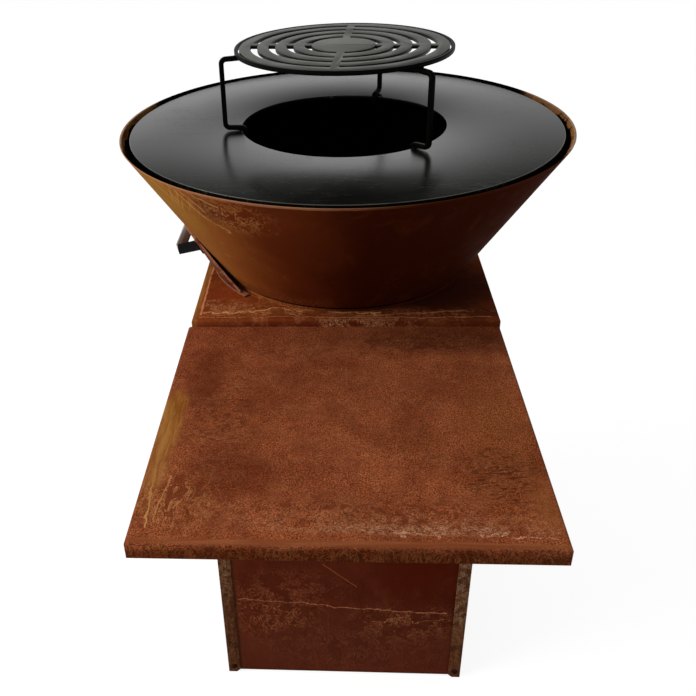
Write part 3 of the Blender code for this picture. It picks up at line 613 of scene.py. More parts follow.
panelRust = {
    "plane": (1, -0.075, 0.30),
    "dark": (92, 34, 17),
    "mid": (108, 43, 24),
    "light": (126, 62, 38),
    "deep": (66, 20, 9),
    "lightShare": 0.40,
    "darkShare": 0.5,
    "broad": 7.0,
    "mottle": 46.0,
    "run": (1, 1, 0.35),
    "grainTone": 0.9,
    "blots": (
        ((0.15, 0.4), (0.1, 0.16), (92, 24, 8), 0.8, 0.6),
        ((-0.06, 0.3), (0.13, 0.06), (104, 44, 28), 0.5, 0.7),
        ((-0.225, 0.4), (0.012, 0.5), (116, 60, 36), 0.6, 0.5),
        ((0, 0.09), (0.3, 0.11), (116, 58, 38), 0.5, 0.6),
    ),
    "marks": (
        ((-0.14, 0.19), (0.09, 0.08), (1, 1, 0.7), 90, (92, 38, 22), 0.5, (196, 118, 76), 0.75),
        ((0.13, 0.165), (0.1, 0.05), (1, 1, 1.2), 75, (86, 32, 17), 0.5, (206, 128, 84), 0.85),
        ((-0.12, 0.262), (0.11, 0.05), (1, 1, 1), 110, (86, 32, 16), 0.5, (184, 104, 64), 0.65),
        ((0.04, 0.08), (0.18, 0.06), (1, 1, 0.6), 60, (88, 38, 24), 0.4, (150, 92, 66), 0.45),
    ),
    "lines": (
        ((-0.216, 0.228), (-0.09, 0.219), 0.0016, 0.03, (206, 132, 90), 0.95),
        ((-0.09, 0.219), (0.02, 0.206), 0.0016, 0.03, (206, 128, 86), 0.95),
        ((0.02, 0.206), (0.21, 0.196), 0.0017, 0.024, (220, 146, 102), 0.95),
        ((0.06, 0.168), (0.205, 0.18), 0.0018, 0.06, (206, 132, 88), 0.9),
        ((-0.041, 0.332), (0.027, 0.269), 0.0009, 0.004, (206, 116, 62), 0.95),
        ((-0.03, 0.19), (-0.036, 0.04), 0.0012, 0.01, (132, 70, 46), 0.6),
    ),
    "depth": 0.00012,
}

postRust = {
    "plane": (1, -0.08, 0.06),
    "dark": (88, 48, 28),
    "mid": (120, 72, 44),
    "light": (170, 116, 76),
    "deep": (56, 26, 14),
    "lightShare": 0.55,
    "darkShare": 0.7,
    "broad": 14.0,
    "mottle": 90.0,
    "run": (1, 1, 0.5),
    "grainTone": 1.6,
    "marks": (
        ((0.235, 0.27), (0.03, 0.11), (1, 1, 0.8), 260, (60, 30, 16), 0.5, (236, 200, 160), 0.95),
        ((-0.235, 0.3), (0.03, 0.06), (1, 1, 0.8), 240, (66, 34, 20), 0.5, (226, 176, 130), 0.9),
        ((0, 0.1), (0.3, 0.11), (1, 1, 0.5), 150, (60, 30, 16), 0.5, (176, 124, 84), 0.55),
    ),
    "depth": 0.00016,
}

coverRust = {
    "dark": (104, 48, 28),
    "mid": (128, 66, 40),
    "light": (166, 104, 72),
    "deep": (80, 32, 16),
    "lightShare": 0.45,
    "darkShare": 0.5,
    "broad": 12.0,
    "mottle": 60.0,
    "run": (1, 1, 2.0),
    "grainTone": 1.0,
    "marks": (
        ((-0.2, 0.171, 0.93), (0.2, 0.3, 0.06), (0.6, 0.6, 2), 60, (96, 42, 24), 0.4, (196, 134, 98), 0.6),
    ),
    "lines": (  # worn ends, each with its own normal
        (
            (-0.1769, 0.0061, 0.8973), (-0.2418, 0.0186, 0.9833),
            0.0024, 0.003, (196, 136, 106), 0.95, (-0.712, -0.534, -0.454),
        ),
        (
            (-0.1769, 0.3362, 0.8973), (-0.2418, 0.3237, 0.9833),
            0.0024, 0.003, (196, 136, 106), 0.95, (-0.712, 0.534, -0.454),
        ),
    ),
    "films": (  # worn edges
        ((-0.2, 0.171, 0.9938), (0.4, 0.4, 0.0022), (1, 1, 1), (188, 128, 98), (204, 150, 120), 0.85, 0.4),
        ((-0.2, 0.171, 0.8973), (0.4, 0.4, 0.0016), (1, 1, 1), (170, 110, 80), (190, 132, 102), 0.6, 0.4),
    ),
    "depth": 0.00010,
}

bowlRust = {
    "gold": (188, 132, 58),
    "tan": (170, 98, 46),
    "brown": (118, 54, 24),
    "maroon": (70, 27, 9),
    "stain": (122, 54, 26),
    "smudge": (110, 62, 40),
    "patch": (128, 68, 28),
    "pale": (206, 150, 80),
    "streak": (214, 150, 84),
    "footDark": (104, 50, 26),
    "footLight": (160, 92, 54),
    "rim": (198, 136, 98),
    "rimShade": (80, 34, 16),
    "wear": (158, 106, 60),  # painted light on the inner wall's upper band, on the right
    # painted shade on that band, on the left
    "wallShade": (78, 38, 12),
    "bare": (176, 142, 116),  # the rim's own edge
    "soot": (6, 5, 4),
    "speckle": (1.5, 1.4, 1.3, 1),
    "shine": 0.01,
    "depth": 0.00010,
    "unrolled": 0.3,  # metres along the unrolled wall for one radian
    "blots": (  # angle in degrees, height, width, tall, tone, share, edge
        (-27, 1.112, 0.05, 0.022, "stain", 0.8, 0.5),
        (-20, 1.105, 0.05, 0.018, "stain", 0.6, 0.5),
        (-33, 1.105, 0.016, 0.022, "smudge", 0.6, 0.8),
        (-46, 1.085, 0.03, 0.05, "gold", 0.55, 0.5),
    ),
    "veins": (-27, 1.108, 0.048, 0.030, 0.6),  # angle, height, width, tall, edge
    "brushed": (-41.5, 1.113, 0.022, 0.030, 0.5),
    "lines": (  # start and end as angle and height, width, wander
        ((-42, 1.139), (-36, 1.085), 0.0036, 0.014),
        ((-36, 1.085), (-30, 1.066), 0.0024, 0.03),
        ((-39, 1.139), (-34.5, 1.1), 0.0022, 0.016),
        ((-50, 1.135), (-45, 1.1), 0.003, 0.02),
        ((-46, 1.138), (-41, 1.095), 0.002, 0.02),
        ((-36, 1.139), (-29, 1.12), 0.0018, 0.016),
        ((-41, 0.999), (-38.5, 0.996), 0.0012, 0.004),
    ),
}


def rustedBowl(name, look):
    finish = Finish(name, IOR=1.45, Specular_IOR_Level=look["shine"])
    place = finish.place()
    x, y, z = finish.split(place)
    back = y - axisBack
    radius = (x * x + back * back) ** 0.5
    turn = x.reckon("ARCTAN2", x, 0 - back)  # 0 at the front, less than 0 on the left, in radians
    rolled = finish.node("ShaderNodeCombineXYZ", sockets={"X": turn * look["unrolled"], "Y": 0.0, "Z": z})
    broad = finish.noise(finish.stretch(place, (1, 1, 0.7)), 6.5, 4, 0.55, 0.9)
    ragged = finish.noise(place, 24, 5, 0.6, 0.8)
    wisps = finish.noise(finish.stretch(rolled, (1, 1, 1), (0, radians(-38), 0)), 70, 4, 0.6, 1.6)
    grain = finish.noise(place, 360, 2, 0.6)

    side = x / radius + (broad - 0.5) * 0.35  # -1 on the lit left, 1 on the shaded right
    # gold and tan on the left, brown and maroon on the right: partly rust tone, partly painted light from the
    # left and painted shade on the right; the gold is stronger higher up
    colour = finish.mix(finish.step(side, 0.16, -0.36), paint(*look["maroon"]), paint(*look["brown"]))
    colour = finish.mix(finish.step(side, -0.26, -0.66), colour, paint(*look["tan"]))
    high = 0.45 + finish.step(z, 1.03, 1.10) * 0.55
    colour = finish.mix(finish.step(side, -0.52, -0.88) * high, colour, paint(*look["gold"]))

    mottle = finish.noise(finish.stretch(place, (1, 1, 0.6)), 26, 5, 0.64, 0.6)
    runs = finish.noise(finish.stretch(place, (1, 1, 0.13)), 30, 3, 0.6, 0.4)
    behind = 0.22 + finish.step(back, -0.06, 0.10) * 0.78
    # lit is 1 on the painted-light side; the stain runs and pale patches below keep to it
    lit = finish.step(side, 0.1, -0.5)
    colour = finish.mix(finish.step(mottle, 0.49, 0.30) * behind * 0.75, colour, paint(*look["patch"]))
    colour = finish.mix(finish.step(runs, 0.52, 0.68) * behind * lit * 0.60, colour, paint(*look["stain"]))
    colour = finish.mix(finish.step(mottle, 0.56, 0.74) * behind * lit * 0.55, colour, paint(*look["pale"]))

    def onWall(angle, height):
        return (radians(angle) * look["unrolled"], 0, height)

    def area(angle, height, width, tall, edge):
        return finish.spot(rolled, onWall(angle, height), (width, 1, tall), ragged, edge)

    for *where, tone, share, edge in look["blots"]:
        colour = finish.mix(area(*where, edge) * share, colour, paint(*look[tone]))
    veins = finish.step(abs(wisps - 0.5), 0.040, 0.006) * area(*look["veins"])
    colour = finish.mix(veins * 0.75, colour, paint(*look["streak"]))
    for start, end, width, wander in look["lines"]:
        line = finish.line(rolled, onWall(*start), onWall(*end), (0, 1, 0), width, (ragged - 0.5) * wander)
        colour = finish.mix(line * 0.8, colour, paint(*look["streak"]))
    along = finish.stretch(rolled, (1, 1, 1), (0, radians(-30), 0))
    brushed = finish.noise(finish.stretch(along, (1, 1, 0.10)), 210, 3, 0.6, 0.3)
    rubbed = area(*look["brushed"])
    colour = finish.mix(finish.step(brushed, 0.48, 0.62) * rubbed * 0.75, colour, paint(*look["streak"]))
    colour = finish.mix(finish.step(brushed, 0.46, 0.34) * rubbed * 0.45, colour, paint(*look["stain"]))
    low = finish.step(z + (ragged - 0.5) * 0.030, 0.932, 0.916) * finish.step(side, 0.05, -0.3) * 0.55
    foot = finish.mix(finish.step(grain, 0.4, 0.6), paint(*look["footDark"]), paint(*look["footLight"]))
    colour = finish.mix(low, colour, foot)
    flecks = finish.step(ragged, 0.64, 0.72) * finish.step(grain, 0.5, 0.6)
    colour = finish.mix(flecks * finish.step(side, 0.1, -0.4) * 0.45, colour, paint(*look["streak"]))
    speckle = finish.step(grain, 0.52, 0.72) * 0.25
    colour = finish.mix(speckle, colour, look["speckle"], "MULTIPLY")

    top = bowlBox[1].z
    flank = x.over(0 - x - 0.022) + (ragged - 0.5) * 0.03  # far out right, or farther out left
    lip = finish.step(z + (ragged - 0.5) * 0.003, top - 0.0046, top - 0.0030)
    facing = finish.step(back, 0.04, -0.04)
    # the rim's front lip: painted light on the left (rim tone), painted shade on the right (rimShade)
    rimTone = finish.mix(finish.step(side, 0.35, -0.25), paint(*look["rimShade"]), paint(*look["rim"]))
    colour = finish.mix(lip * facing * 0.8, colour, rimTone)

    rough = 0.72 + (ragged - 0.5) * 0.3
    height = grain * 0.5 + ragged * 1.2 + veins * 0.5
    apex = bowlLook["foot"] - bowlBox[0].z * bowlSlope  # the cone's radius where z is 0
    wall = bowlLook["sheet"]
    inside = finish.step(radius - z * bowlSlope - apex, -wall * 0.35, -wall * 0.75)
    # the inner wall's upper band, far out left and right, stays out of the painted shade
    lighterTop = finish.step(z + (ragged - 0.5) * 0.012, top - 0.0080, top - 0.0050)
    lighterTop = finish.step(flank, 0.325, 0.355) * lighterTop
    lighterTop = lighterTop * (0.35 + finish.step(ragged + (grain - 0.5) * 0.6, 0.36, 0.50) * 0.65)
    # the inner wall below that band, and the back half's lip, painted near black: partly soot, partly painted
    # shade
    sootAndShade = inside.over((1 - facing) * lip) * (1 - lighterTop) * finish.step(radius, 0.17, 0.18)
    # the band's tone: painted shade on the left, painted light on the right
    wear = finish.mix(finish.step(x, 0, 0.1), paint(*look["wallShade"]), paint(*look["wear"]))
    colour = finish.mix(inside * lighterTop, colour, wear)
    colour = finish.mix(sootAndShade, colour, paint(*look["soot"]))
    edging = lighterTop * finish.step(z, top - 0.0012, top - 0.0004)
    colour = finish.mix(edging, colour, paint(*look["bare"]))
    rough = rough + sootAndShade * 0.2
    return finish.finish(colour, rough, height, look["depth"])


def blackened(name, look):  # oiled or painted steel: nearly black, with faint brushing, dust and worn spots
    finish = Finish(name, IOR=look["ior"], Specular_IOR_Level=look["shine"])
    place = finish.place()
    broad = finish.noise(place, look["broad"], 4, 0.6, 0.4)
    brush = finish.noise(finish.stretch(place, look["brush"]), look["brushScale"], 3, 0.6)
    grain = finish.noise(place, look["grain"], 2, 0.6)
    dots = finish.cells(place, look["dots"])
    colour = finish.mix(finish.step(broad, 0.35, 0.68), paint(*look["dark"]), paint(*look["light"]))
    dusty = finish.step(dots, 0.10, 0.02) * finish.step(broad, 0.48, 0.62)
    colour = finish.mix(dusty, colour, paint(*look["dust"]))
    rough = look["rough"] + (broad - 0.5) * look["roughRange"] + (brush - 0.5) * look["roughRange"] * 0.7
    height = grain * 0.6 + brush * 0.4
    x, y, z = finish.split(place)
    if "sides" in look:  # worn on top, still black on the cut edges below this height
        lighterTop = finish.step(z, look["sides"] - 0.0004, look["sides"] + 0.0004)
        colour = finish.mix(lighterTop, paint(*look["sideTone"]), colour)
    metal = None
    if "paintedSheen" in look:
        # painted reflection: a white metallic band at the top and outer corner, a copper one further in
        top, outer = look["paintedSheen"]
        level = z * cos(pullLean) - x * sin(pullLean)
        metal = finish.step(level, top - 0.0009, top - 0.0004)
        metal = metal.over(finish.step(x, outer + 0.0030, outer + 0.0018) * 0.6)
        band = finish.step(x, outer + 0.0085, outer + 0.0100)
        bright = finish.mix(band, paint(*look["sheenWhite"]), paint(*look["sheenCopper"]))
        colour = finish.mix(metal, colour, bright)
    if "edges" in look:  # rings at these distances from the bowl's axis: painted highlight on the bevelled edges, partly bare steel
        back = y - axisBack
        radius = (x * x + back * back) ** 0.5
        for ring in look["edges"]:
            rubAndSheen = finish.step(abs(radius - ring), 0.0012, 0.0004) * finish.step(broad, 0.36, 0.56)
            rubAndSheen = rubAndSheen * finish.step(z, look["top"] - 0.0008, look["top"] - 0.0002)
            colour = finish.mix(rubAndSheen * 0.7, colour, paint(*look["edgeTone"]))
        scratch = finish.noise(finish.stretch(place, look["scratch"]), 26, 3, 0.7, 0.3)
        scratch = finish.step(abs(scratch - 0.5), 0.012, 0.002) * finish.step(broad, 0.50, 0.66)
        colour = finish.mix(scratch * 0.35, colour, paint(*look["edgeTone"]))
        rough = rough + scratch * 0.2
    return finish.finish(colour, rough, height, look["depth"], metal)


blackSteel = {
    "dark": (8, 9, 8),
    "light": (14, 14, 12),
    "dust": (62, 56, 47),
    "ior": 1.5,
    "shine": 0.30,
    "broad": 5.0,
    "brush": (1, 9, 1),
    "brushScale": 60.0,
    "grain": 900.0,
    "dots": 55.0,
    "rough": 0.24,
    "roughRange": 0.10,
    "depth": 0.00001,
}
griddleSteel = dict(
    blackSteel,
    dark=(7, 7, 4),
    light=(13, 13, 8),
    shine=0.36,
    top=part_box("griddle_ring")[1].z,
    edges=(0.1757, 0.3648),
    edgeTone=(112, 110, 102),
    scratch=(0.25, 4, 1),
)
grateSteel = dict(
    blackSteel,
    dark=(76, 77, 70),
    light=(110, 111, 102),
    dust=(130, 126, 114),
    shine=0.12,
    rough=0.40,
    grain=600.0,
    depth=0.00003,
    sides=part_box("grate_disc")[1].z - 0.0011,
    sideTone=(7, 7, 6),
)
barSteel = dict(
    blackSteel,
    dark=(5, 5, 4),
    light=(11, 11, 9),
    shine=0.02,
    rough=0.38,
    grain=500.0,
    depth=0.00003,
    brush=(1, 1, 1),
)
pullLean = radians(12)
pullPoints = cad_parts["hatch_handle"].data.vertices
handleSteel = dict(
    blackSteel,
    dark=(5, 6, 5),
    light=(9, 9, 8),
    shine=0.08,
    rough=0.18,
    roughRange=0.06,
    depth=0.000006,
    broad=20.0,
    paintedSheen=(  # painted reflection on its leaning top and its outer corners
        max(vert.co.z * cos(pullLean) - vert.co.x * sin(pullLean) for vert in pullPoints),
        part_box("hatch_handle")[0].x,
    ),
    sheenWhite=(232, 208, 186),
    sheenCopper=(196, 122, 84),
)
boltSteel = dict(
    barSteel, dark=(40, 22, 13), light=(66, 36, 22), dust=(120, 70, 42), dots=400.0, broad=160.0, rough=0.5
)
sootSteel = dict(
    barSteel,
    dark=(8, 7, 6),
    light=(20, 17, 14),
    dust=(50, 40, 32),
    rough=0.85,
    roughRange=0.2,
    depth=0.0001,
    broad=18.0,
)

finishes = {  # the material and its slot
    "table": (sheetRust("tableRust", tableRust), "rusted_table"),
    "tray": (sheetRust("trayRust", trayRust), "rusted_tray"),
    "panel": (sheetRust("panelRust", panelRust), "rusted_panel"),
    "post": (sheetRust("postRust", postRust), "rusted_post"),
    "bowl": (rustedBowl("bowlRust", bowlRust), "rusted_bowl"),
    "cover": (sheetRust("coverRust", coverRust), "rusted_bowl"),
    "griddle": (blackened("griddleSteel", griddleSteel), "seasoned_steel"),
    "grate": (blackened("grateSteel", grateSteel), "seasoned_steel"),
    "bar": (blackened("barSteel", barSteel), "black_bar"),
    "handle": (blackened("handleSteel", handleSteel), "black_handle"),
    "bolt": (blackened("boltSteel", boltSteel), "blackened_bolt"),
    "soot": (blackened("sootSteel", sootSteel), "sooty_steel"),
}
print("finishes are mixed")


# Pedestal and side table

foldLook = {
    "sheet": 0.003,
    "foldRadius": 0.005,
    "foldSteps": 6,
    "edge": 0.0005,
    "boltCircle": 0.150,
    "boltHole": 0.0045,
    "drain": 0.010,
}


def foldedSheet(name, node, look, openBack):
    low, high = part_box(node)
    tiny = 0.00001
    deselect()
    bpy.ops.mesh.primitive_cube_add(size=1, location=(low + high) / 2, scale=high - low)
    item = started(name)

    def folds(edge):
        onTop = all(vert.co.z > high.z - tiny for vert in edge.verts)
        return onTop and not (openBack and all(vert.co.y > high.y - tiny for vert in edge.verts))

    pick(item, "EDGE", folds)
    bpy.ops.mesh.bevel(offset=look["foldRadius"], segments=look["foldSteps"], profile=0.5, affect="EDGES")
    pick(item, "FACE", lambda face: face.normal.z < -0.9 or (openBack and face.normal.y > 0.9))
    bpy.ops.mesh.delete(type="FACE")
    return applied(item, "SOLIDIFY", thickness=look["sheet"], offset=-1, use_even_offset=True)


def drilled(item, spot, radius):  # a round hole straight down through a piece
    deselect()
    place = (spot.x, spot.y, baseTop)
    bpy.ops.mesh.primitive_cylinder_add(vertices=32, radius=radius, depth=0.02, location=place)
    return cutBy(item, bpy.context.active_object)


tray = foldedSheet("trayTop", "base_tray", foldLook, False)
for turn in range(4):
    spoke = radians(45 + 90 * turn)
    spot = bowlAxis + Vector((cos(spoke), sin(spoke), 0)) * foldLook["boltCircle"]
    drilled(tray, spot, foldLook["boltHole"])
drilled(tray, bowlAxis, foldLook["drain"])
done(rounded(tray, foldLook["edge"], 2, 50), "base", "tray", "base_tray")
table = foldedSheet("tableTop", "side_table", foldLook, True)
done(rounded(table, foldLook["edge"], 2, 50), "base", "table", "side_table")

plainEdges = {"post": 0.0007, "bracket": 0.0005, "panel": 0.0004}

for kind, names in (
    ("post", ("front_left_post", "front_right_post", "back_right_post", "back_left_post")),
    ("bracket", ("left_bracket", "right_bracket")),
    ("panel", ("front_panel", "back_panel", "left_panel", "right_panel")),
):
    for node in names:
        finish = "post" if kind == "post" else "panel"
        done(softened(node, camel(node), plainEdges[kind]), "base", finish, node)
print("pedestal and side table are made")

# Fire bowl, with what carries it and what it carries


def fireBowl(look):
    low, high, rim, foot = bowlBox[0].z, bowlBox[1].z, bowlBox[1].x, look["foot"]
    wall, edge = look["sheet"] / cos(atan(bowlSlope)), look["edge"]
    outline = [
        (foot, low),
        (rim - bowlSlope * edge, high - edge),
        (rim - edge * 0.8, high),
        (rim - wall + edge * 0.4, high),
        (rim - wall - bowlSlope * edge * 0.8, high - edge * 0.8),
        (foot - wall, low),
    ]
    item = spun("bowlWall", outline, look["steps"])
    width, height, corner = look["opening"]
    middle = baseTop + look["openingRise"] + height / 2
    deselect()
    reach = rim / 2
    spot = bowlAxis + Vector((-rim + reach / 2, 0, middle))
    bpy.ops.mesh.primitive_cube_add(size=1, location=spot, scale=(reach, width, height))
    cutter = started("bowlOpening")
    pick(cutter, "EDGE", lambda edge: abs(edge.verts[0].co.x - edge.verts[1].co.x) > reach / 2)
    bpy.ops.mesh.bevel(offset=corner, segments=8, profile=0.5, affect="EDGES")
    return rounded(cutBy(item, cutter), look["openingEdge"], 2, 40)


collarLook = {"radius": 0.225, "wall": 0.008, "edge": 0.0006}


def collarRing(look):
    low, high = (corner.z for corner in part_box("bowl_collar"))
    outer, inner = look["radius"], look["radius"] - look["wall"]
    item = spun("collarRing", [(outer, low), (outer, high), (inner, high), (inner, low)], 192)
    return rounded(item, look["edge"], 2, 50)


done(fireBowl(bowlLook), "base", "bowl", "bowl_shell")
done(collarRing(collarLook), "base", "bowl", "bowl_collar")
carrierEdges = {"bowl_floor": 0.0005, **dict.fromkeys(numbered("support_lug", 4), 0.0006)}
for node, width in carrierEdges.items():
    done(softened(node, camel(node), width), "base", "soot", node)
print("fire bowl is made")

# Hatch: its sill on the tray, its rolled cover and the pull

sillLook = {"edge": 0.0007}
coverLook = {
    "steps": 72,
    "footAngle": 43.0,  # half the cover's sweep, in degrees
    "topAngle": 31.0,
    "corner": 0.010,
    "wall": 0.003,
    "footRadius": 0.23857,
    "slope": 0.5104,
    "height": 0.096,
    "edge": 0.0005,
    "hookWidth": 0.020,
    "hookSpread": 0.140,
    "hookSeat": 0.0003,  # over the opening's lower edge
    "hookGap": 0.005,  # from the bowl's inside
    "hookTail": 0.008,
}


def coverSheet(look):
    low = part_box("hatch_cover")[0].z
    high = low + look["height"]
    wall = look["wall"] / cos(atan(look["slope"]))
    foot, top = look["footRadius"], look["footRadius"] + look["slope"] * look["height"]
    outline = [(foot, low), (foot + wall, low), (top + wall, high), (top, high)]
    half = radians(look["footAngle"])
    item = spun("coverSheet", outline, look["steps"], 2 * half, pi + half)
    lowHalf = (foot + wall) * sin(half)
    highHalf = (top + wall) * sin(radians(look["topAngle"]))
    side = [(-lowHalf, low), (lowHalf, low), (highHalf, high), (-highHalf, high)]
    trimmer = drawn("coverTrimmer", [bowlAxis + Vector((-top * 1.2, across, up)) for across, up in side])
    bpy.ops.mesh.edge_face_add()
    pick(trimmer, "VERT", lambda vert: vert.co.z > high - 0.001)
    bpy.ops.mesh.bevel(offset=look["corner"], segments=8, affect="VERTICES")
    pick(trimmer, "FACE", lambda face: True)
    bpy.ops.mesh.extrude_region_move(TRANSFORM_OT_translate={"value": (top, 0, 0)})
    cutBy(item, mend(trimmer), "INTERSECT")
    return item


def coverHooks(look):
    low = baseTop + bowlLook["openingRise"] + look["hookSeat"]
    foot, wall, slope = look["footRadius"], look["wall"], look["slope"]
    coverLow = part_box("hatch_cover")[0].z
    behind = bowlLook["foot"] - wall / cos(atan(bowlSlope)) - look["hookGap"]
    tail = low - look["hookTail"]

    def front(height):
        return foot + slope * (height - coverLow) + wall / 2

    def back(height):
        return behind + bowlSlope * (height - bowlBox[0].z)

    outline = [(front(low), low), (front(low + wall), low + wall), (back(low + wall) - wall, low + wall)]
    outline += [(back(tail) - wall, tail), (back(tail), tail), (back(low), low)]
    half = look["hookWidth"] / 2
    angle = asin(look["hookSpread"] / 2 / (foot + slope * (low - coverLow)))
    hooks = []
    for side in (-1, 1):
        hook = drawn("coverHook", [bowlAxis + Vector((-radius, -half, height)) for radius, height in outline])
        bpy.ops.mesh.edge_face_add()
        bpy.ops.mesh.extrude_region_move(TRANSFORM_OT_translate={"value": (0, 2 * half, 0)})
        hooks.append(aboutAxis(mend(hook), side * angle))
    return hooks


def hatchCover(look):
    item = coverSheet(look)
    for hook in coverHooks(look):
        cutBy(item, hook, "UNION")
    return rounded(item, look["edge"], 2, 40)


def hatchSill(look):
    return softened("hatch_sill", "hatchSill", look["edge"])


pullLook = {
    "bend": 0.0026,
    "bendReach": 0.0091,  # bends are looked for this near each end
    "bendLeast": 0.014,  # and are longer than this
    "edge": 0.0004,
    "screwEdge": 0.0004,
}


def hatchPull(look):
    low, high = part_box("hatch_handle")
    item = softened("hatch_handle", "hatchPull", 0)
    work(item)

    def outerBend(edge):
        ends = [vert.co for vert in edge.verts]
        atEnd = all(min(abs(end.y - low.y), abs(end.y - high.y)) < look["bendReach"] for end in ends)
        flat = abs(ends[0].y - ends[1].y) < 0.0001 and abs(ends[0].x - ends[1].x) > look["bendLeast"]
        return atEnd and flat and all(len(face.verts) > 3 for face in edge.link_faces) and upward(edge)

    def upward(edge):
        normals = [face.normal for face in edge.link_faces]
        return any(normal.z > 0.8 for normal in normals) and any(abs(normal.y) > 0.8 for normal in normals)

    print("pull bends:", pick(item, "EDGE", outerBend))
    bpy.ops.mesh.bevel(offset=look["bend"], segments=6, profile=0.5, affect="EDGES")
    bpy.ops.object.mode_set(mode="OBJECT")
    return rounded(item, look["edge"], 2, 40)


done(hatchCover(coverLook), "hatch", "cover", "hatch_cover")
done(hatchSill(sillLook), "base", "cover", "hatch_sill")
done(hatchPull(pullLook), "hatch", "handle", "hatch_handle")
for node in ("front_handle_screw", "back_handle_screw"):
    done(softened(node, camel(node), pullLook["screwEdge"]), "hatch", "bolt", node)
print("hatch is made")

# Griddle, stand and grate

griddleLook = {"hole": 0.175, "edge": 0.0009, "steps": 256}


def ringGriddle(look):
    low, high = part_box("griddle_ring")
    outer, inner = high.x, look["hole"]
    outline = [(outer, low.z), (outer, high.z), (inner, high.z), (inner, low.z)]
    item = spun("ringGriddle", outline, look["steps"])
    return rounded(item, look["edge"], 3, 50)


standLook = {
    "bar": 0.008,
    "edge": 0.0016,
    "path": ((0.1695, -0.0120), (0.1695, 0.00393), (0.2025, 0.00624), (0.2025, 0.1187), (0.1490, 0.12057)),
    "bends": (0.006, 0.008, 0.008),
    "turn": 9.8,  # degrees
    "hoopWall": 0.006,
    "hoopEdge": 0.0012,
    "bead": 0.0022,
    "beadDrop": 0.0006,  # under the hoop
    "beadGap": 0.0003,  # beside the arm
    "cutEdge": 0.0006,
}


def standLeg(look):
    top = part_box("griddle_ring")[1].z
    path = [bowlAxis + Vector((radius, 0, top + rise)) for radius, rise in look["path"]]
    heading = (path[1] - path[0]).normalized()
    deselect()
    turn = heading.to_track_quat("Z", "Y").to_euler()
    bpy.ops.mesh.primitive_plane_add(size=look["bar"], location=path[0], rotation=turn)
    item = started("standLeg")
    bpy.ops.mesh.bevel(offset=look["edge"], segments=3, affect="VERTICES")
    spot = path[0]
    for before, corner, after, bend in zip(path, path[1:], path[2:], look["bends"]):
        coming, going = (corner - before).normalized(), (after - corner).normalized()
        angle = coming.angle(going)
        start = corner - coming * bend * tan(angle / 2)
        bpy.ops.mesh.extrude_region_move(TRANSFORM_OT_translate={"value": start - spot})
        pivot = coming.cross(going).normalized()
        centre = start + pivot.cross(coming) * bend
        bpy.ops.mesh.spin(steps=8, angle=-angle, center=centre, axis=pivot)
        spot = corner + going * bend * tan(angle / 2)
    bpy.ops.mesh.extrude_region_move(TRANSFORM_OT_translate={"value": path[-1] - spot})
    return rounded(mend(item), look["cutEdge"], 2, 60)


def standHoop(look):
    low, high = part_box("stand_hoop")
    outer, inner = high.x, high.x - look["hoopWall"]
    item = spun("standHoop", [(outer, low.z), (outer, high.z), (inner, high.z), (inner, low.z)], 192)
    return rounded(item, look["hoopEdge"], 3, 50)


def weldBead(look, radius, height, across):  # a bead of weld where an arm meets the hoop
    deselect()
    spot = bowlAxis + Vector((radius, across, height))
    flattened = (1.5, 0.7, 0.6)
    bpy.ops.mesh.primitive_uv_sphere_add(
        segments=16, ring_count=8, radius=look["bead"], location=spot, scale=flattened
    )
    return mend(started("weldBead"))


grateLook = {
    "slotWidth": 0.0115,
    "slotFirst": 0.0525,
    "rows": 4,
    "bridge": 0.0125,
    "turn": -5.5,  # degrees
    "edge": 0.0008,
    "spare": 0.002,  # how far the cutters stand out
    "discSteps": 256,
    "slotSteps": 160,
}


def grateDisc(look):
    low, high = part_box("grate_disc")
    radius = (high.x - low.x) / 2
    middle = bowlAxis + Vector((0, 0, (low.z + high.z) / 2))
    deselect()
    thick = high.z - low.z
    bpy.ops.mesh.primitive_cylinder_add(
        vertices=look["discSteps"], radius=radius, depth=thick, location=middle
    )
    disc = bpy.context.active_object
    disc.name = "grateDisc"
    pitch = (radius - look["slotFirst"]) / look["rows"]
    slots = None
    for row in range(look["rows"]):
        inner = look["slotFirst"] + row * pitch
        outer = inner + look["slotWidth"]
        foot, top = low.z - look["spare"], high.z + look["spare"]
        ring = spun("slotRing", [(inner, foot), (outer, foot), (outer, top), (inner, top)], look["slotSteps"])
        slots = joined(slots, ring)
    for turn in (look["turn"], look["turn"] + 90):
        deselect()
        spin, size = (0, 0, radians(turn)), (2 * radius, look["bridge"], 0.02)
        bpy.ops.mesh.primitive_cube_add(size=1, location=middle, rotation=spin, scale=size)
        cutBy(slots, bpy.context.active_object)
    return rounded(cutBy(disc, slots), look["edge"], 2, 40)


done(ringGriddle(griddleLook), "griddle", "griddle", "griddle_ring")
hoop = standHoop(standLook)
firstLeg = standLeg(standLook)
hoopLow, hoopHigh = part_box("stand_hoop")
beadAt = (hoopHigh.x - standLook["hoopWall"] / 2, hoopLow.z - standLook["beadDrop"])
for node, angle in (("left_stand_leg", 180), ("front_stand_leg", -60), ("back_stand_leg", 60)):
    leg = aboutAxis(twin(firstLeg, camel(node)), radians(angle + standLook["turn"]))
    done(leg, "stand", "bar", node)
    for across in (-1, 1):
        bead = weldBead(standLook, *beadAt, across * (standLook["bar"] / 2 + standLook["beadGap"]))
        done(aboutAxis(bead, radians(angle + standLook["turn"])), "stand", "bar")
bpy.data.objects.remove(firstLeg, do_unlink=True)
done(hoop, "stand", "bar", "stand_hoop")
done(grateDisc(grateLook), "grate", "grate", "grate_disc")
print("griddle, stand and grate are made")

# Bolts, each with its nut

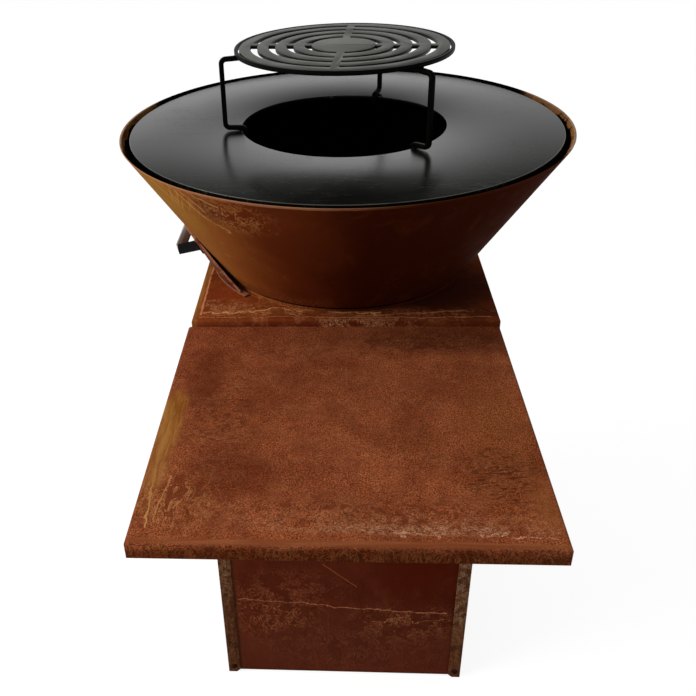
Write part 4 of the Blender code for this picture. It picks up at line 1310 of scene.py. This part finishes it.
boltLook = {
    "edge": 0.0003,
    "panel": {"shank": 0.003, "head": 0.0068, "rise": 0.0042, "nut": 0.0057, "nutRise": 0.005, "tip": 0.0018},
    "bracket": {"shank": 0.003, "head": 0.006, "rise": 0.004, "nut": 0.0057, "nutRise": 0.005, "tip": 0.0018},
    "bowl": {"shank": 0.004, "head": 0.0075, "rise": 0.0045, "nut": 0.0075, "nutRise": 0.0065, "tip": 0.0024},
}


def boltForm(look, length):  # head up at the origin, with its nut at the far end
    head, rise, shank = look["head"], look["rise"], look["shank"]
    angles = [radians(angle) for angle in (90, 75, 58, 40, 20)]
    dome = [(head * sin(angle), rise * (0.25 + 0.75 * cos(angle))) for angle in angles]
    outline = [(shank * 0.8, -length), (shank, -length + shank * 0.25), (shank, 0), (head, 0)] + dome
    item = spun("boltForm", outline + [(0.00002, rise), (0.00002, -length)], 32, centre=Vector((0, 0, 0)))
    deselect()
    spot = (0, 0, rise * 0.95)
    bpy.ops.mesh.primitive_cylinder_add(vertices=6, radius=head * 0.42, depth=rise, location=spot)
    cutBy(item, bpy.context.active_object)
    deselect()
    spot = (0, 0, -length + look["tip"] + look["nutRise"] / 2)
    bpy.ops.mesh.primitive_cylinder_add(vertices=6, radius=look["nut"], depth=look["nutRise"], location=spot)
    cutBy(item, bpy.context.active_object, "UNION")
    return rounded(item, boltLook["edge"], 2, 40)


def boltsAt(kind, inward, nodes):
    look = boltLook[kind]
    form = None
    for node in nodes:
        low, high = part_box(node)
        along = Vector([abs(part) for part in inward])
        length = (high - low).dot(along) - look["rise"]
        if form is None:
            form = boltForm(look, length)
        middle = (low + high) / 2
        seat = middle - inward * ((high - low).dot(along) / 2 - look["rise"])
        turn = Vector((0, 0, -1)).rotation_difference(inward).to_matrix()
        done(settle(twin(form, camel(node)), seat, turn), "base", "bolt", node)
    bpy.data.objects.remove(form, do_unlink=True)


boltsAt("panel", Vector((0, 1, 0)), numbered("front_panel_bolt", 2))
boltsAt("panel", Vector((0, -1, 0)), numbered("back_panel_bolt", 4))
bracketBolts = numbered("left_bracket_bolt", 2) + numbered("right_bracket_bolt", 2)
boltsAt("bracket", Vector((0, 1, 0)), bracketBolts)
boltsAt("bowl", Vector((0, 0, -1)), numbered("bowl_bolt", 4))
for node in numbered("left_table_stud", 2) + numbered("right_table_stud", 2):
    done(softened(node, camel(node), boltLook["edge"]), "base", "bolt", node)
print("bolts are made")
